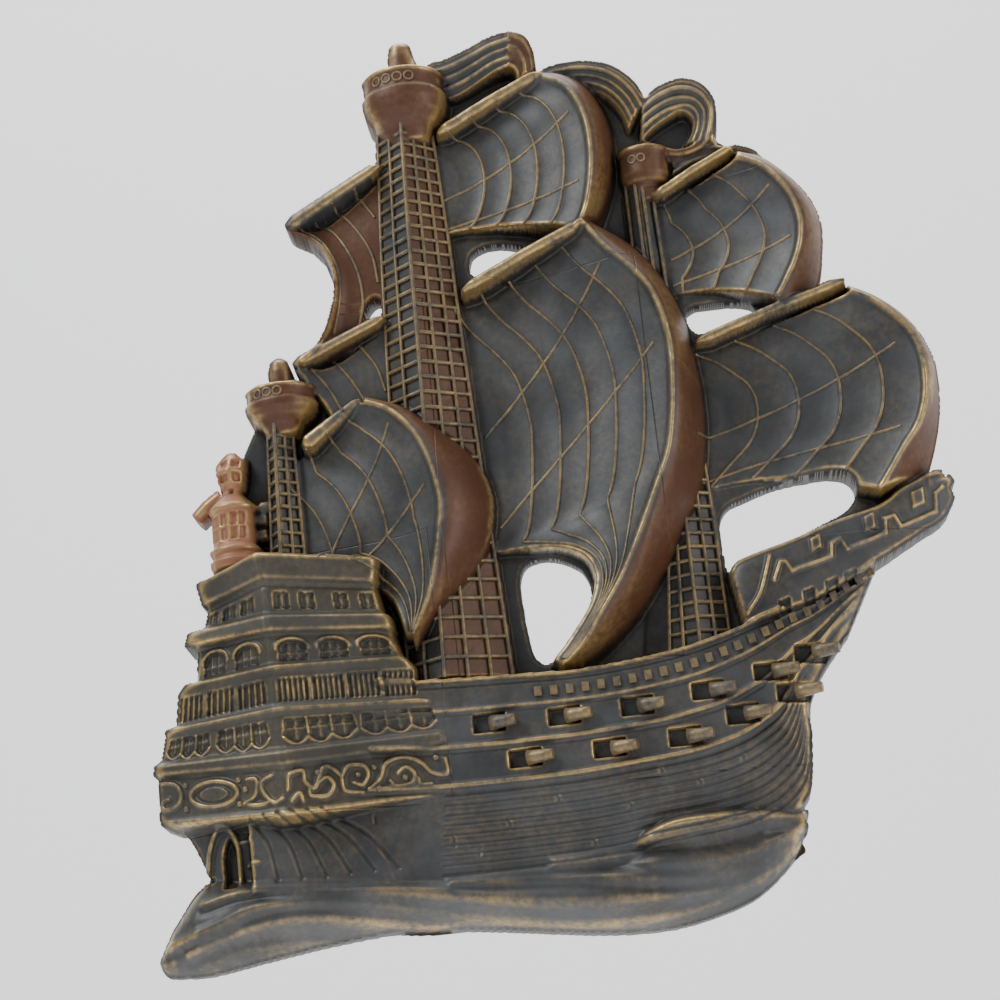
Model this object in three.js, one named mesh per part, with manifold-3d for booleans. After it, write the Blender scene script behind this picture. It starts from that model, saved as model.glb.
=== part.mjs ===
// Galleon wall plaque: one moulded relief of a ship under sail, hung on a wall.
// Millimetres. +Z is up, the flat back lies on the wall at Y = 0, and the relief rises towards -Y.
// A point is [x, z, depth], where depth is how far it stands off the wall.
import * as THREE from "three";
import { LoftGeometry } from "three/addons/geometries/LoftGeometry.js";
import { mergeVertices } from "three/addons/utils/BufferGeometryUtils.js";
import Module from "manifold-3d";

const wasm = await Module();
wasm.setup();

// ---- Driving sizes ----
const WEB_DEPTH = 7; // the thin plate behind the rigging
const RELIEF_DEPTH = 38.4; // the stern corner, the highest point
const HULL_DEPTH = 24; // the hull side amidships
const BOW_DEPTH = 14; // the hull side at the bow
const MAST_DEPTH = 23; // the ridge of the main shrouds
const SEAM_RISE = 0.9; // sail seams above the cloth
const SEAM_HALF = 0.8;
const LEAVE_SUNK = 3; // how far an applied moulding is buried in what it sits on
const RUNG_PITCH = 10;
const PIT_DEPTH = 1.6; // the gaps of the rigging, below its ropes
const KEYHOLE = { x: -18, z: 120, width: 9, slot: 5, drop: 14, depth: 9 };

// ---- Curves ----

/** The vector of a relief point. */
const at = ([x, z, depth]) => new THREE.Vector3(x, -depth, z);

/** A smooth curve through a few relief points, as count + 1 evenly spaced ones. */
function smooth(points, count) {
  const curve = new THREE.CatmullRomCurve3(points.map(at), false, "centripetal");
  return curve.getSpacedPoints(count).map((v) => [v.x, v.z, -v.y]);
}

/** The point a share t of the way from a to b. */
const blend = (a, b, t) => a.map((value, i) => value + (b[i] - value) * t);

/** count + 1 even stations from a to b. */
const stations = (a, b, count) => Array.from({ length: count + 1 }, (_, i) => a + ((b - a) * i) / count);

/** The value at x of a line drawn straight from knot to knot, [x, value] each. */
function graph(knots, x) {
  const next = knots.findIndex(([knot]) => knot >= x);
  if (next < 0) return knots.at(-1)[1];
  if (next === 0) return knots[0][1];
  const [x0, y0] = knots[next - 1];
  const [x1, y1] = knots[next];
  return y0 + ((y1 - y0) * (x - x0)) / (x1 - x0);
}

// ---- Solids ----

/** A closed geometry as a solid that faces outwards. */
function solid(geometry) {
  const bare = new THREE.BufferGeometry();
  bare.setAttribute("position", geometry.getAttribute("position"));
  bare.setIndex(geometry.index);
  const merged = mergeVertices(bare, 1e-4);
  const vertProperties = new Float32Array(merged.attributes.position.array);
  const triVerts = new Uint32Array(merged.index.array);
  return new wasm.Manifold(new wasm.Mesh({ numProp: 3, vertProperties, triVerts }));
}

const join = (solids) => solids.reduce((whole, next) => whole.add(next));

/** Whether the sections of a loft wind so that its faces point outwards. */
function windsOutwards(sections) {
  const middle = (section) =>
    section.reduce((sum, v) => sum.add(v), new THREE.Vector3()).divideScalar(section.length);
  const [first, next] = [Math.floor((sections.length - 1) / 2), Math.floor((sections.length + 1) / 2)];
  const centre = middle(sections[first]);
  const normal = new THREE.Vector3();
  sections[first].forEach((v, i, all) => {
    const a = v.clone().sub(centre);
    normal.add(a.cross(all[(i + 1) % all.length].clone().sub(centre)));
  });
  return normal.dot(middle(sections[next]).sub(centre)) > 0;
}

/**
 * A relief lofted through rows of front points. It runs back to the wall, or, with sunk given,
 * only that far behind its two edges.
 */
function relief(rows, sunk = null) {
  const floor = (depth) => (sunk === null ? 0 : Math.max(0.5, depth - sunk));
  const sections = rows.map((row) => {
    const [first, last] = [row[0], row.at(-1)];
    const back = [
      [last[0], last[1], floor(last[2])],
      [first[0], first[1], floor(first[2])],
    ];
    return [...row, ...back].map(at);
  });
  if (!windsOutwards(sections)) sections.forEach((section) => section.reverse());
  return solid(new LoftGeometry(sections, { capStart: true, capEnd: true }));
}

/** A raised bead along a path: half its width to each side, rise above the path's own depth. */
function bead(path, half, rise, sunk = LEAVE_SUNK) {
  const rows = path.map((point, i) => {
    const before = path[Math.max(i - 1, 0)];
    const after = path[Math.min(i + 1, path.length - 1)];
    const length = Math.hypot(after[0] - before[0], after[1] - before[1]);
    const side = [-(after[1] - before[1]) / length, (after[0] - before[0]) / length];
    const w = typeof half === "function" ? half(i / (path.length - 1)) : half;
    const step = (k, up) => [point[0] + side[0] * w * k, point[1] + side[1] * w * k, point[2] + up];
    return [step(-1, 0), step(-0.5, rise), step(0.5, rise), step(1, 0)];
  });
  return relief(rows, sunk);
}

/** A turned form half sunk in the relief: profile points are [z, radius], base is its axis depth. */
function drum(x, base, profile, sides = 8) {
  const rows = profile.map(([z, radius]) =>
    stations(Math.PI, 0, sides).map((a) => [
      x + radius * Math.cos(a),
      z,
      base + radius * Math.sin(a),
    ]),
  );
  return relief(rows);
}

/** A flat plate on the wall with holes, from outlines of [x, z] points that run clockwise. */
function plate(outline, holes, depth) {
  const loop = (points) => points.map(([x, z]) => new THREE.Vector2(x, z));
  const shape = new THREE.Shape(loop(outline).reverse());
  shape.holes = holes.map((hole) => new THREE.Path(loop(hole)));
  const geometry = new THREE.ExtrudeGeometry(shape, { depth, bevelEnabled: false });
  geometry.rotateX(Math.PI / 2);
  return solid(geometry);
}

/** A smooth closed outline through a few [x, z] corners. */
function rounded(corners, count) {
  const curve = new THREE.CatmullRomCurve3(
    corners.map(([x, z]) => new THREE.Vector3(x, 0, z)),
    true,
    "centripetal",
  );
  return curve.getSpacedPoints(count).slice(0, -1).map((v) => [v.x, v.z]);
}

// ---- Backing web ----

const OUTLINE = [
  [-113, -120], [-130, -106], [-128, -80], [-117, -55], [-112, -38], [-108, -24], [-108, -8],
  [-104, 8], [-95, 30], [-88, 44], [-79, 62], [-70, 46], [-60, 52], [-68, 62], [-57, 76],
  [-54, 92], [-58, 106], [-66, 116], [-36, 132], [-34, 152], [-28, 180], [-19, 188], [-8, 180],
  [24, 186], [31, 180], [31, 170], [50, 171], [64, 164], [72, 156], [86, 157], [94, 150], [95, 136],
  [110, 126], [124, 108], [130, 92], [126, 66], [140, 66], [156, 54], [165, 36], [164, 14],
  [155, -8], [138, -30], [118, -62], [104, -84], [98, -118],
];

const HOLES = {
  topsail: [[-2, 94], [0, 102], [8, 104.5], [16, 102.5], [22, 100], [10, 94.5]],
  left: [[-44, 79], [-42, 84], [-38, 86], [-38, 78]],
  course: [
    [3, -30], [6, -23], [15, -22.5], [22, -25], [28, -30], [29, -38], [24, -48], [18, -57],
    [12, -62], [7, -60], [4, -48],
  ],
  foreTopsail: [[77, 65], [80, 68], [90, 68.5], [101, 66], [101, 62], [88, 58.5], [80, 58]],
  foreCourse: [
    [79, -20], [82, -12], [92, -8], [106, -5.5], [122, -4.5], [128, -9], [127, -16], [118, -22],
    [106, -27], [92, -31], [82, -35],
  ],
};

const web = () => plate(OUTLINE, Object.values(HOLES), WEB_DEPTH);

// ---- Swell ----

const SEA_TOP = [
  [-138, -153], [-130, -142], [-118, -130], [-100, -129], [-60, -132], [0, -137], [30, -135],
  [46, -126], [60, -123], [80, -123], [97, -127],
];
const SEA_FOOT = [
  [-138, -156], [-132, -159.5], [-120, -160.5], [-75, -154.5], [-50, -153], [-25, -155],
  [0, -158.5], [40, -163.5], [55, -161], [75, -155], [88, -145], [97, -129],
];
const SEA_DEPTH = [[-138, 9], [-128, 19], [-110, 25], [-40, 26], [40, 27], [80, 22], [97, 12]];
const SEA_WAVES = 2.6;
const SEA_ROWS = 22;

/** The swell: one long rounded bank with waves that run along it and drift towards its foot. */
function sea() {
  const rows = stations(-138, 97, SEA_ROWS).map((x, row) => {
    const [top, foot] = [graph(SEA_TOP, x), graph(SEA_FOOT, x)];
    const full = graph(SEA_DEPTH, x);
    return stations(0, 1, 8).map((t) => {
      const bank = full * Math.pow(Math.sin(Math.PI * (0.16 + 0.78 * t)), 0.6);
      const wave = 1.7 * Math.sin(2 * Math.PI * (SEA_WAVES * t - row / SEA_ROWS + 0.1));
      return [x, top + (foot - top) * t, Math.max(4, bank + wave * Math.sin(Math.PI * t))];
    });
  });
  return relief(rows);
}

/** The wave thrown up under the bow. */
function bowWave() {
  const rows = smooth([[34, -136, 22], [44, -130, 29], [62, -128, 29], [84, -129, 24], [94, -131, 16]], 10).map(
    ([x, z, depth], i) => {
      const half = 1.5 + 7 * Math.sin((Math.PI * (i + 1)) / 13);
      return [[x, z + half, depth - 6], [x, z + half * 0.4, depth], [x, z - half * 0.6, depth - 1], [x, z - half, depth - 5]];
    },
  );
  return relief(rows);
}

// ---- Hull ----

const RAIL = [[-100, -64], [-28, -67.5], [20, -69.5], [42, -68.3], [62, -65], [80, -60], [100, -53], [118, -45], [134, -36]];
const KEEL = [[-100, -138], [20, -142], [60, -138], [84, -134], [96, -124], [101.5, -99], [104, -88], [112, -74], [134, -40]];
const HULL_PLAN = [[-100, 24], [40, 24], [70, 21.5], [100, 16.5], [134, 12.5]]; // depth at each x
const HULL_BELLY = 2.4;
const HULL_STATIONS = 16;

/** A station of the hull: share t along it, share w from the rail down. */
function hullPoint(t, w) {
  const share = t * (RAIL.length - 1);
  const on = (line, key) => graph(line.map((point, i) => [i, point[key]]), share);
  const [x, z] = blend([on(RAIL, 0), on(RAIL, 1)], [on(KEEL, 0), on(KEEL, 1)], w);
  return [x, z, graph(HULL_PLAN, x) + HULL_BELLY * Math.sin(Math.PI * w)];
}

// Raised lines along the hull: share below the rail, half width in shares, and rise.
const HULL_LINES = [
  [0.025, 0.02, 1.6],
  [0.17, 0.014, 1.2],
  [0.34, 0.02, 1.3],
  [0.51, 0.02, 1.3],
  [0.63, 0.01, 0.7],
  [0.76, 0.01, 0.7],
];

/** The hull's side, with its rail, wales and planks. */
function hullSide() {
  const shares = HULL_LINES.flatMap(([w, half, rise]) => [[w - half, 0], [w, rise], [w + half, 0]]);
  const columns = [...shares, [1, 0]];
  return relief(
    stations(0, 1, HULL_STATIONS).map((t) =>
      columns.map(([w, rise]) => {
        const [x, z, depth] = hullPoint(t, w);
        return [x, z, depth + rise];
      }),
    ),
  );
}

const DENTILS = 23;

/** The row of square dentils under the rail. */
const dentils = () =>
  stations(0.16, 0.84, DENTILS - 1).map((t) => {
    const [x, z, depth] = hullPoint(t, 0.1);
    return relief([-1.5, 1.5].map((side) => [[x + side, z + 1.8, depth + 1], [x + side, z - 1.8, depth + 1]]), 3);
  });

const UPPER_GUNS = [[-12, -85], [15, -86], [41, -85.5], [67, -82.5], [90, -77.5], [105, -72]];
const LOWER_GUNS = [[0, -99.5], [30, -99.5], [57, -98.5], [78, -92.5], [97, -86.5]];
const GUN = { length: 9, muzzle: 1.9, breech: 2.6, port: [6, 3.3], proud: 3 };

/** The hull's depth at x where the guns are. */
const hullDepthAt = (x) => graph(HULL_PLAN, x) + HULL_BELLY * 0.8;

/** A stubby gun that points forward out of its port. */
function gun([x, z]) {
  const base = hullDepthAt(x);
  const path = [[x - 2, z, base - 3], [x + 5, z - 0.4, base + GUN.proud - 1]];
  return bead(path, (t) => GUN.breech + (GUN.muzzle - GUN.breech) * t, 2.4, 8);
}

/** The square recess behind a gun. */
function port([x, z]) {
  const [half, tall] = GUN.port;
  const box = new THREE.BoxGeometry(half * 2, 6, tall * 2);
  box.translate(x, -hullDepthAt(x) - 1.2, z);
  return solid(box);
}

// ---- Bow castle ----

/** The forecastle and beak, from its grey after face to the tip of the beak. */
function forecastle() {
  const top = smooth([[81, -38, 17], [96, -31.5, 18], [120, -23.5, 17], [145, -14, 15.5], [158, -9.5, 14], [165, -13, 10]], 12);
  const foot = smooth([[84, -62, 20], [100, -56, 20], [122, -46, 18], [138, -36, 15.5], [150, -31, 13], [164, -22, 9]], 12);
  return relief(top.map((point, i) => [0, 0.3, 0.65, 1].map((w) => blend(point, foot[i], w))));
}

const MEANDER = [
  [95, -45], [98.5, -38], [102, -42], [117, -38], [118, -32.5], [123, -36], [138, -31], [139, -25],
  [143.5, -29], [158, -24], [159, -17],
];

/** The raised fret under the forecastle rail. */
const meander = () => bead(MEANDER.map(([x, z]) => [x, z, 18.4 - (x - 95) * 0.06]), 1.1, 1.2);

const foreBlocks = () =>
  [[112, -32, 17.6], [132.5, -26.5, 16.6], [151.5, -19, 15]].map(([x, z, depth]) =>
    bead([[x - 2.2, z - 0.7, depth], [x + 2.2, z + 0.7, depth]], 2.4, 2),
  );

const foreWindows = () =>
  [[98, -54], [107, -51.5], [115.5, -48.8], [123, -46.5]].map(([x, z]) => {
    const box = new THREE.BoxGeometry(4.4, 4, 4.6);
    box.translate(x, -20.5 + (x - 98) * 0.14, z);
    return solid(box);
  });

// ---- Stern castle ----

// Each level: heights of the left end, the corner and the right end, their x, and how proud it is.
const LEVELS = [
  { z: [-19, -15.5, -18], x: [-108, -88.5, -50], proud: -3 },
  { z: [-21.4, -17, -20.3], x: [-113.4, -88.3, -45.9], proud: 0.5 },
  { z: [-29.5, -26, -29], x: [-111.5, -86.8, -46.9], proud: 0.2 },
  { z: [-30.4, -27, -30], x: [-110, -86.6, -47.5], proud: -2 },
  { z: [-37.2, -38.8, -40], x: [-112, -86.5, -45.5], proud: -2 },
  { z: [-39, -40.5, -42], x: [-118, -86.4, -43], proud: 0.6 },
  { z: [-43.5, -45.5, -47], x: [-119.5, -86.2, -42], proud: 0.8 },
  { z: [-44.8, -47, -48.2], x: [-115, -86, -42.5], proud: -1.8 },
  { z: [-56.5, -57.6, -56.7], x: [-116.5, -85.8, -40.5], proud: -1.8 },
  { z: [-57.5, -59.2, -58.5], x: [-120.5, -85.6, -38.5], proud: 0.6 },
  { z: [-61, -62, -62], x: [-123.5, -85.4, -36.2], proud: -0.8 },
  { z: [-72, -72.6, -73], x: [-125, -85.2, -35.4], proud: -0.8 },
  { z: [-73.5, -74.6, -75], x: [-129, -85, -31], proud: 0.8 },
  { z: [-76, -77, -77], x: [-129.5, -84.8, -29.5], proud: -1 },
  { z: [-84, -88.4, -85.5], x: [-131.5, -84.2, -28], proud: -1 },
  { z: [-86, -90.5, -88], x: [-134, -84, -26.5], proud: 1.4 },
  { z: [-89, -94.5, -91], x: [-134.4, -83.9, -26.2], proud: 1.2 },
  { z: [-90, -96, -92.5], x: [-133, -83.9, -27], proud: -0.6 },
  { z: [-105, -110, -107.5], x: [-133.5, -83.9, -26.4], proud: -0.6 },
  { z: [-107, -112.5, -109.5], x: [-133, -84, -27.5], proud: 0.4 },
  { z: [-109.5, -115, -111.5], x: [-128, -85, -30], proud: -6 },
];
const CORNER_DEPTH = RELIEF_DEPTH - Math.max(...LEVELS.map((level) => level.proud));
const END_DEPTH = [[0, 22], [0.5, 18], [1, 14]]; // left end, from the top level to the bottom
const RIGHT_DEPTH = 25.5;

/** A point of the stern: level number (fractions lie between levels), side 0 left or 1 right,
 * share u from the corner to that side's end. */
function sternPoint(level, side, u, lift = 0) {
  const low = Math.min(Math.floor(level), LEVELS.length - 2);
  const share = level - low;
  const [a, b] = [LEVELS[low], LEVELS[low + 1]];
  const mix = (key, i) => a[key][i] + (b[key][i] - a[key][i]) * share;
  const end = side === 0 ? 0 : 2;
  const proud = a.proud + (b.proud - a.proud) * share;
  const endDepth = side === 0 ? graph(END_DEPTH, level / (LEVELS.length - 1)) : RIGHT_DEPTH;
  const depth = CORNER_DEPTH + (endDepth - CORNER_DEPTH) * u + proud + lift;
  return [mix("x", 1) + (mix("x", end) - mix("x", 1)) * u, mix("z", 1) + (mix("z", end) - mix("z", 1)) * u, depth];
}

/** The stepped body of the stern castle: a ruled face on each side of its corner. */
const sternBody = () => {
  const levels = LEVELS.map((_, i) => i);
  return relief([[0, 1], [0, 0], [1, 1]].map(([side, u]) => levels.map((level) => sternPoint(level, side, u))));
};

/** A pocket cut square into a stern face, over shares u0 to u1 and levels top to foot. */
function sternPocket(side, u0, u1, top, foot, deep = 1.8) {
  const row = (u) => [sternPoint(top, side, u, 3), sternPoint(foot, side, u, 3)];
  return relief([row(u0), row(u1)], 3 + deep);
}

// Tiers of windows: levels they lie between, shares of each face, and depth of cut.
const WINDOW_TIERS = [
  { top: 3.25, foot: 3.85, left: [[0.2, 0.4], [0.52, 0.7], [0.8, 0.95]], right: [[0.09, 0.2], [0.32, 0.43], [0.6, 0.71], [0.82, 0.93]] },
  { top: 7.2, foot: 7.9, left: [[0.2, 0.52], [0.64, 0.9]], right: [[0.06, 0.32], [0.4, 0.64], [0.72, 0.94]] },
  { barred: true, top: 10.1, foot: 10.9, left: [[0.12, 0.36], [0.44, 0.68], [0.76, 0.96]], right: [[0.03, 0.22], [0.27, 0.48], [0.53, 0.73], [0.78, 0.97]] },
  { top: 13.15, foot: 13.8, left: [[0.12, 0.54], [0.64, 0.94]], right: [[0.03, 0.46], [0.52, 0.96]] },
];
const BALUSTERS = 2; // openings of a gallery panel

/** The open slots of one gallery panel. */
const gallery = (side, u0, u1, { top, foot }) =>
  stations(0, BALUSTERS - 1, BALUSTERS - 1).map((i) => {
    const width = (u1 - u0) / BALUSTERS;
    return sternPocket(side, u0 + width * i, u0 + width * (i + 0.7), top, foot);
  });

const sternWindows = () =>
  WINDOW_TIERS.flatMap((tier) =>
    [tier.left, tier.right].flatMap((face, side) =>
      face.flatMap(([u0, u1]) =>
        tier.barred ? gallery(side, u0, u1, tier) : [sternPocket(side, u0, u1, tier.top, tier.foot)],
      ),
    ),
  );

/** A scroll on the lowest tier, traced in shares of the face and levels. */
function scroll(side, trace, steps = 5, half = 1.1) {
  const points = trace.map(([u, level]) => sternPoint(level, side, u));
  return bead(smooth(points, steps), half, 1.2);
}

/** The oval medallion of the left face. */
const medallion = () =>
  scroll(0, stations(0, 2 * Math.PI, 10).map((a) => [0.55 + 0.17 * Math.cos(a), 17.5 + 0.34 * Math.sin(a)]), 12);

const scrolls = () => [
  medallion(),
  scroll(0, [[0.95, 17.2], [0.84, 17.3], [0.84, 17.7], [0.95, 17.8]]),
  scroll(0, [[0.1, 17.2], [0.25, 17.3], [0.18, 17.8]], 5),
  scroll(1, [[0.02, 17.7], [0.03, 17.2], [0.12, 17.4], [0.2, 17.1], [0.32, 17.4], [0.36, 17.8]], 7),
  scroll(1, [[0.14, 17.5], [0.22, 17.4], [0.24, 17.75], [0.14, 17.75]], 6),
  scroll(1, [[0.34, 17.3], [0.42, 17.15], [0.48, 17.5], [0.56, 17.8]], 6),
  scroll(1, [[0.56, 17.5], [0.68, 17.2], [0.82, 17.4], [0.9, 17.8], [0.97, 17.4]], 7),
  scroll(1, [[0.68, 17.5], [0.75, 17.45], [0.76, 17.8], [0.68, 17.8]], 5),
];

/** The counter under the stern, the rudder with its arched trunk, and the swept planks. */
function underStern() {
  const rows = [
    [-128, -112, -121, 8], [-118, -112, -128, 14], [-104, -112, -132, 19], [-88, -114, -135, 25], [-70, -114, -137, 26], [-40, -113, -138, 25],
  ].map(([x, top, foot, depth]) => [[x, top + 4, depth], [x, (top + foot) / 2, depth - 1], [x, foot, depth - 1]]);
  return relief(rows);
}

const rudder = () => bead([[-112, -113, 17], [-112, -133, 18]], 1.8, 4);

const sweptPlanks = () =>
  [[-98, -90], [-91, -79], [-86, -71]].map(([from, to]) =>
    bead(smooth([[from, -112, 21 + (from + 98) * 0.3], [(from + to) / 2 + 1, -121, 22 + (from + 98) * 0.3], [to, -133, 23.5]], 4), 0.8, 1),
  );

// ---- Lantern ----

const lantern = () => [
  drum(-98.5, 12, [[-14, 8.5], [-10, 9.5], [-8, 7.6], [8, 7.6], [10, 8.8], [18, 1.5]]),
  relief([[-105, 17, 15], [-98.5, 17, 21], [-92, 17, 15]].map(([x, z, depth]) => [[x, z + 11, depth - 2], [x, z + 6, depth], [x, z, depth]])),
  bead([[-105, 15, 16], [-114.5, 9, 13]], 2.2, 2.5, null),
];

// ---- Masts ----

/**
 * A shroud lofted as a lattice: ropes stand up along it and rungs across it, with pits between.
 * Its rows are [left x, ridge x, right x, z], and its ridge stands off its two edges.
 */
function shroud({ rows, edge, ridge, ropes, pitch }) {
  const [foot, head] = [rows[0][3], rows.at(-1)[3]];
  const column = (i, z) => graph(rows.map((row) => [row[3], row[i]]), z);
  const rungs = Math.max(1, Math.round((head - foot) / pitch));
  const lattice = stations(0, 2 * rungs, 2 * rungs).map((k) => {
    const z = foot + ((head - foot) * k) / (2 * rungs);
    const [left, middle, right] = [0, 1, 2].map((i) => column(i, z));
    return ropes.flatMap((rope, i) => {
      const pits = i === 0 ? [] : [(rope + ropes[i - 1]) / 2];
      return [...pits, rope].map((s) => {
        const x = s < 1 ? left + (middle - left) * s : middle + (right - middle) * (s - 1);
        const raised = k % 2 === 0 || ropes.includes(s);
        return [x, z, edge + (ridge - edge) * (1 - Math.abs(1 - s)) - (raised ? 0 : PIT_DEPTH)];
      });
    });
  });
  return relief(lattice);
}

// Ropes are placed at shares: 0 is the left edge, 1 the ridge and 2 the right edge.
const SHROUDS = [
  {
    rows: [[-40, -25.8, -1.4, -66], [-39, -24.3, -6.6, 48], [-36.5, -23.8, -8.4, 100], [-32.4, -22.1, -11.5, 158]],
    edge: 12,
    ridge: MAST_DEPTH,
    ropes: [0, 0.5, 1, 1.34, 1.67, 2],
    pitch: RUNG_PITCH,
  },
  {
    rows: [[-86, -80, -73, -18], [-84, -79.5, -74.5, 42]],
    edge: 13,
    ridge: 18.5,
    ropes: [0, 0.5, 1, 2],
    pitch: RUNG_PITCH,
  },
  {
    rows: [[44, 66, 78, -64], [60, 68, 77, 10]],
    edge: 9,
    ridge: 15,
    ropes: [0, 1, 1.5, 2],
    pitch: RUNG_PITCH,
  },
  {
    rows: [[59, 65, 71, 78], [59.5, 65, 70.5, 122]],
    edge: 10,
    ridge: 15,
    ropes: [0, 0.7, 1.3, 2],
    pitch: 22,
  },
];

const rigging = () => SHROUDS.map(shroud);

/** The three crow's nests with the mast stubs above them. */
const nests = () => [
  drum(-20, 14, [[147, 8], [153, 13.5], [157, 15.4], [165, 16.2], [168, 15.6], [170.5, 13]]),
  drum(-20, 14, [[168, 5], [182, 4.6], [187.5, 3.4], [189, 1.5]], 6),
  drum(-78, 13, [[35, 6], [41, 12], [44, 13.8], [50, 13.8], [52.5, 11.5]]),
  drum(-78, 13, [[50, 4], [62, 3.8], [65, 2]], 6),
  drum(68, 9, [[117, 6], [121, 9.5], [131, 9.8], [134, 8]]),
];

// ---- Sails ----

// Each sail: inner edge (at the mast, then along any foot and tail), crest (its leech, the highest
// edge), outer edge (its back on the wall), how many seams and how far apart, and how hollow it is.
const SAILS = [
  {
    inner: [
      [-22, 75, 9], [-14, 30, 9], [-8, -18, 10], [12, -20, 15], [29, -28, 18], [29, -42, 20], [13, -63, 18],
    ],
    crest: [
      [43, 100, 26], [58, 79, 30], [67, 60, 32], [69.2, 42, 32], [64, 6, 31], [50, -23, 30], [33, -50, 28],
      [16, -69, 24],
    ],
    outer: [
      [46, 104, 10], [66, 86, 9], [76, 60, 9], [79, 32, 9], [74, -6, 9], [60, -32, 9], [44, -51, 9],
      [26, -67, 9],
    ],
    rows: 12,
    seams: 5,
    step: 11.5,
    hollow: 5,
    sag: 0,
  },
  {
    inner: [[-22, 143, 11], [-16, 108, 12]],
    crest: [[33, 164, 22], [45, 153, 26], [49, 134, 27], [46.5, 113, 27], [41, 100, 26]],
    outer: [[33, 169, 9], [50, 163, 8], [57.5, 142, 8], [57, 127, 8], [50, 104, 8]],
    rows: 7,
    seams: 4,
    step: 11,
    hollow: 4,
    sag: 4,
  },
  {
    inner: [[66, 108, 9], [68, 74, 9]],
    crest: [[102, 123, 20], [117, 109, 23], [123.3, 91, 24], [119.4, 76, 23], [112, 63.5, 21]],
    outer: [[104, 127, 8], [120, 117, 7], [131, 97, 7], [131, 82, 7], [126, 64, 7]],
    rows: 7,
    seams: 3,
    step: 13.5,
    hollow: 3,
    sag: 4,
  },
  {
    inner: [[60, 46, 8], [66, -6, 9]],
    crest: [[137, 62, 21], [152, 49, 24], [160, 33, 25], [159, 15, 25], [149, -1, 23], [140, -14, 21]],
    outer: [[138, 67, 8], [156, 55, 7], [166, 35, 7], [165, 14, 7], [154, -12, 7]],
    rows: 8,
    seams: 4,
    step: 15.5,
    hollow: 4,
    sag: 7,
  },
  {
    inner: [[-84, 20, 11], [-84, -20, 12], [-60, -24, 14], [-42, -36, 18], [-39, -50, 22]],
    crest: [[-46, 41, 24], [-29, 27, 28], [-21, 6, 30.5], [-22, -14, 31], [-30, -41, 30], [-36, -51, 28]],
    outer: [[-46, 44, 18], [-16, 26, 14], [-3, 2, 14], [-6, -16, 15], [-24, -43, 18], [-36, -54, 22]],
    rows: 9,
    seams: 4,
    step: 12,
    hollow: 4,
    sag: 0,
  },
];
const TAIL_MARGIN = 3; // cloth kept inside the last seam where the sail narrows

/** Depth across the cloth, from its inner edge (0) to its crest (1): flat by the mast, then rising. */
const rising = (t) => Math.pow(t, 1.7);

/** The front points of one row of a sail: the cloth with its seams, the crest and the back of the leech. */
function sailRow(inner, crest, outer, bulge, { seams, step, hollow }) {
  const width = Math.hypot(crest[0] - inner[0], crest[1] - inner[1]);
  const gap = Math.min(step, (width - TAIL_MARGIN) / (seams + 0.5));
  const place = (distance, lift) => {
    const t = 1 - distance / width;
    const [x, z] = blend(inner, crest, t);
    const dip = hollow * Math.min(1, width / 60) * 0.5 * Math.sin(Math.PI * t);
    return [x, z + bulge * Math.sin(Math.PI * t), inner[2] + (crest[2] - inner[2]) * rising(t) - dip + lift];
  };
  const half = SEAM_HALF * Math.min(1, gap / 4);
  const lines = stations(seams, 1, seams - 1).flatMap((k) => [
    place(k * gap + half, 0),
    place(k * gap, SEAM_RISE),
    place(k * gap - half, 0),
  ]);
  const [shoulderX, shoulderZ] = blend(crest, outer, 0.62);
  return [inner, ...lines, place(gap * 0.45, 0), crest, [shoulderX, shoulderZ, crest[2] - 7], outer];
}

/** A whole sail, from its inner edge to the wall behind its leech. */
function sail(made) {
  const [inner, crest, outer] = [made.inner, made.crest, made.outer].map((edge) => smooth(edge, made.rows));
  return relief(
    inner.map((point, i) => sailRow(point, crest[i], outer[i], made.sag * Math.pow(i / made.rows, 3), made)),
  );
}

/** The two sails that show behind the main mast, on its left. */
const farSails = () => {
  const topEdge = smooth([[-69, 116, 14], [-57, 104, 15], [-54, 92, 16], [-58, 76, 15], [-69, 63, 14]], 8);
  const low = smooth([[-72, 60, 15], [-62, 40, 15], [-52, 20, 14]], 4);
  return [
    relief(topEdge.map(([x, z, d], i) => [[x, z, d], [x + 4, z + 0.5, d - 3], [-30, 136 - i * 8, 12]])),
    relief(low.map(([x, z, d], i) => [[x, z, d], [-30, 76 - i * 14, 12]])),
  ];
};

const YARDS = [
  [[-6, 81, 21], [43, 101, 28]],
  [[-9, 148, 19], [33, 166, 24]],
  [[-71, 118, 17], [-32, 138, 18]],
  [[-72, 61, 17], [-36, 76, 19]],
  [[71, 112, 16], [102, 126, 21]],
  [[79, 51, 16], [137, 66, 22]],
  [[-71.5, 27.5, 20], [-47, 43, 24]],
];
const YARD_HALF = 2.3;

const yards = () =>
  YARDS.map(([from, to]) => bead([from, blend(from, to, 0.5), to], YARD_HALF, 1.8, null));

// ---- Pennants ----

// Each run of ribbon: its upper edge and its lower edge.
const RIBBONS = [
  { upper: [[-10, 181, 14], [8, 186, 16], [22, 189, 18], [30, 184, 16], [30, 172, 14]], lower: [[-6, 168, 12], [8, 172, 14], [18, 173, 16], [22, 172, 14], [24, 166, 12]] },
  { upper: [[26.5, 170.6, 15], [48, 171, 16], [62, 165, 17], [71, 153, 15]], lower: [[40, 160, 12], [52, 159, 13], [58, 152, 14], [63, 142, 12]] },
  { upper: [[70, 152, 16], [86, 157, 17], [97, 149, 16], [95, 131, 14]], lower: [[70, 137, 13], [80, 142, 14], [86, 142, 14], [84, 134, 12]] },
  { upper: [[78, 126, 12], [96, 129, 14], [108, 127, 13], [114, 120, 11]], lower: [[76, 118, 10], [92, 121, 11], [102, 120, 11], [108, 116, 10]] },
];
const FLUTES = 4;

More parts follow.
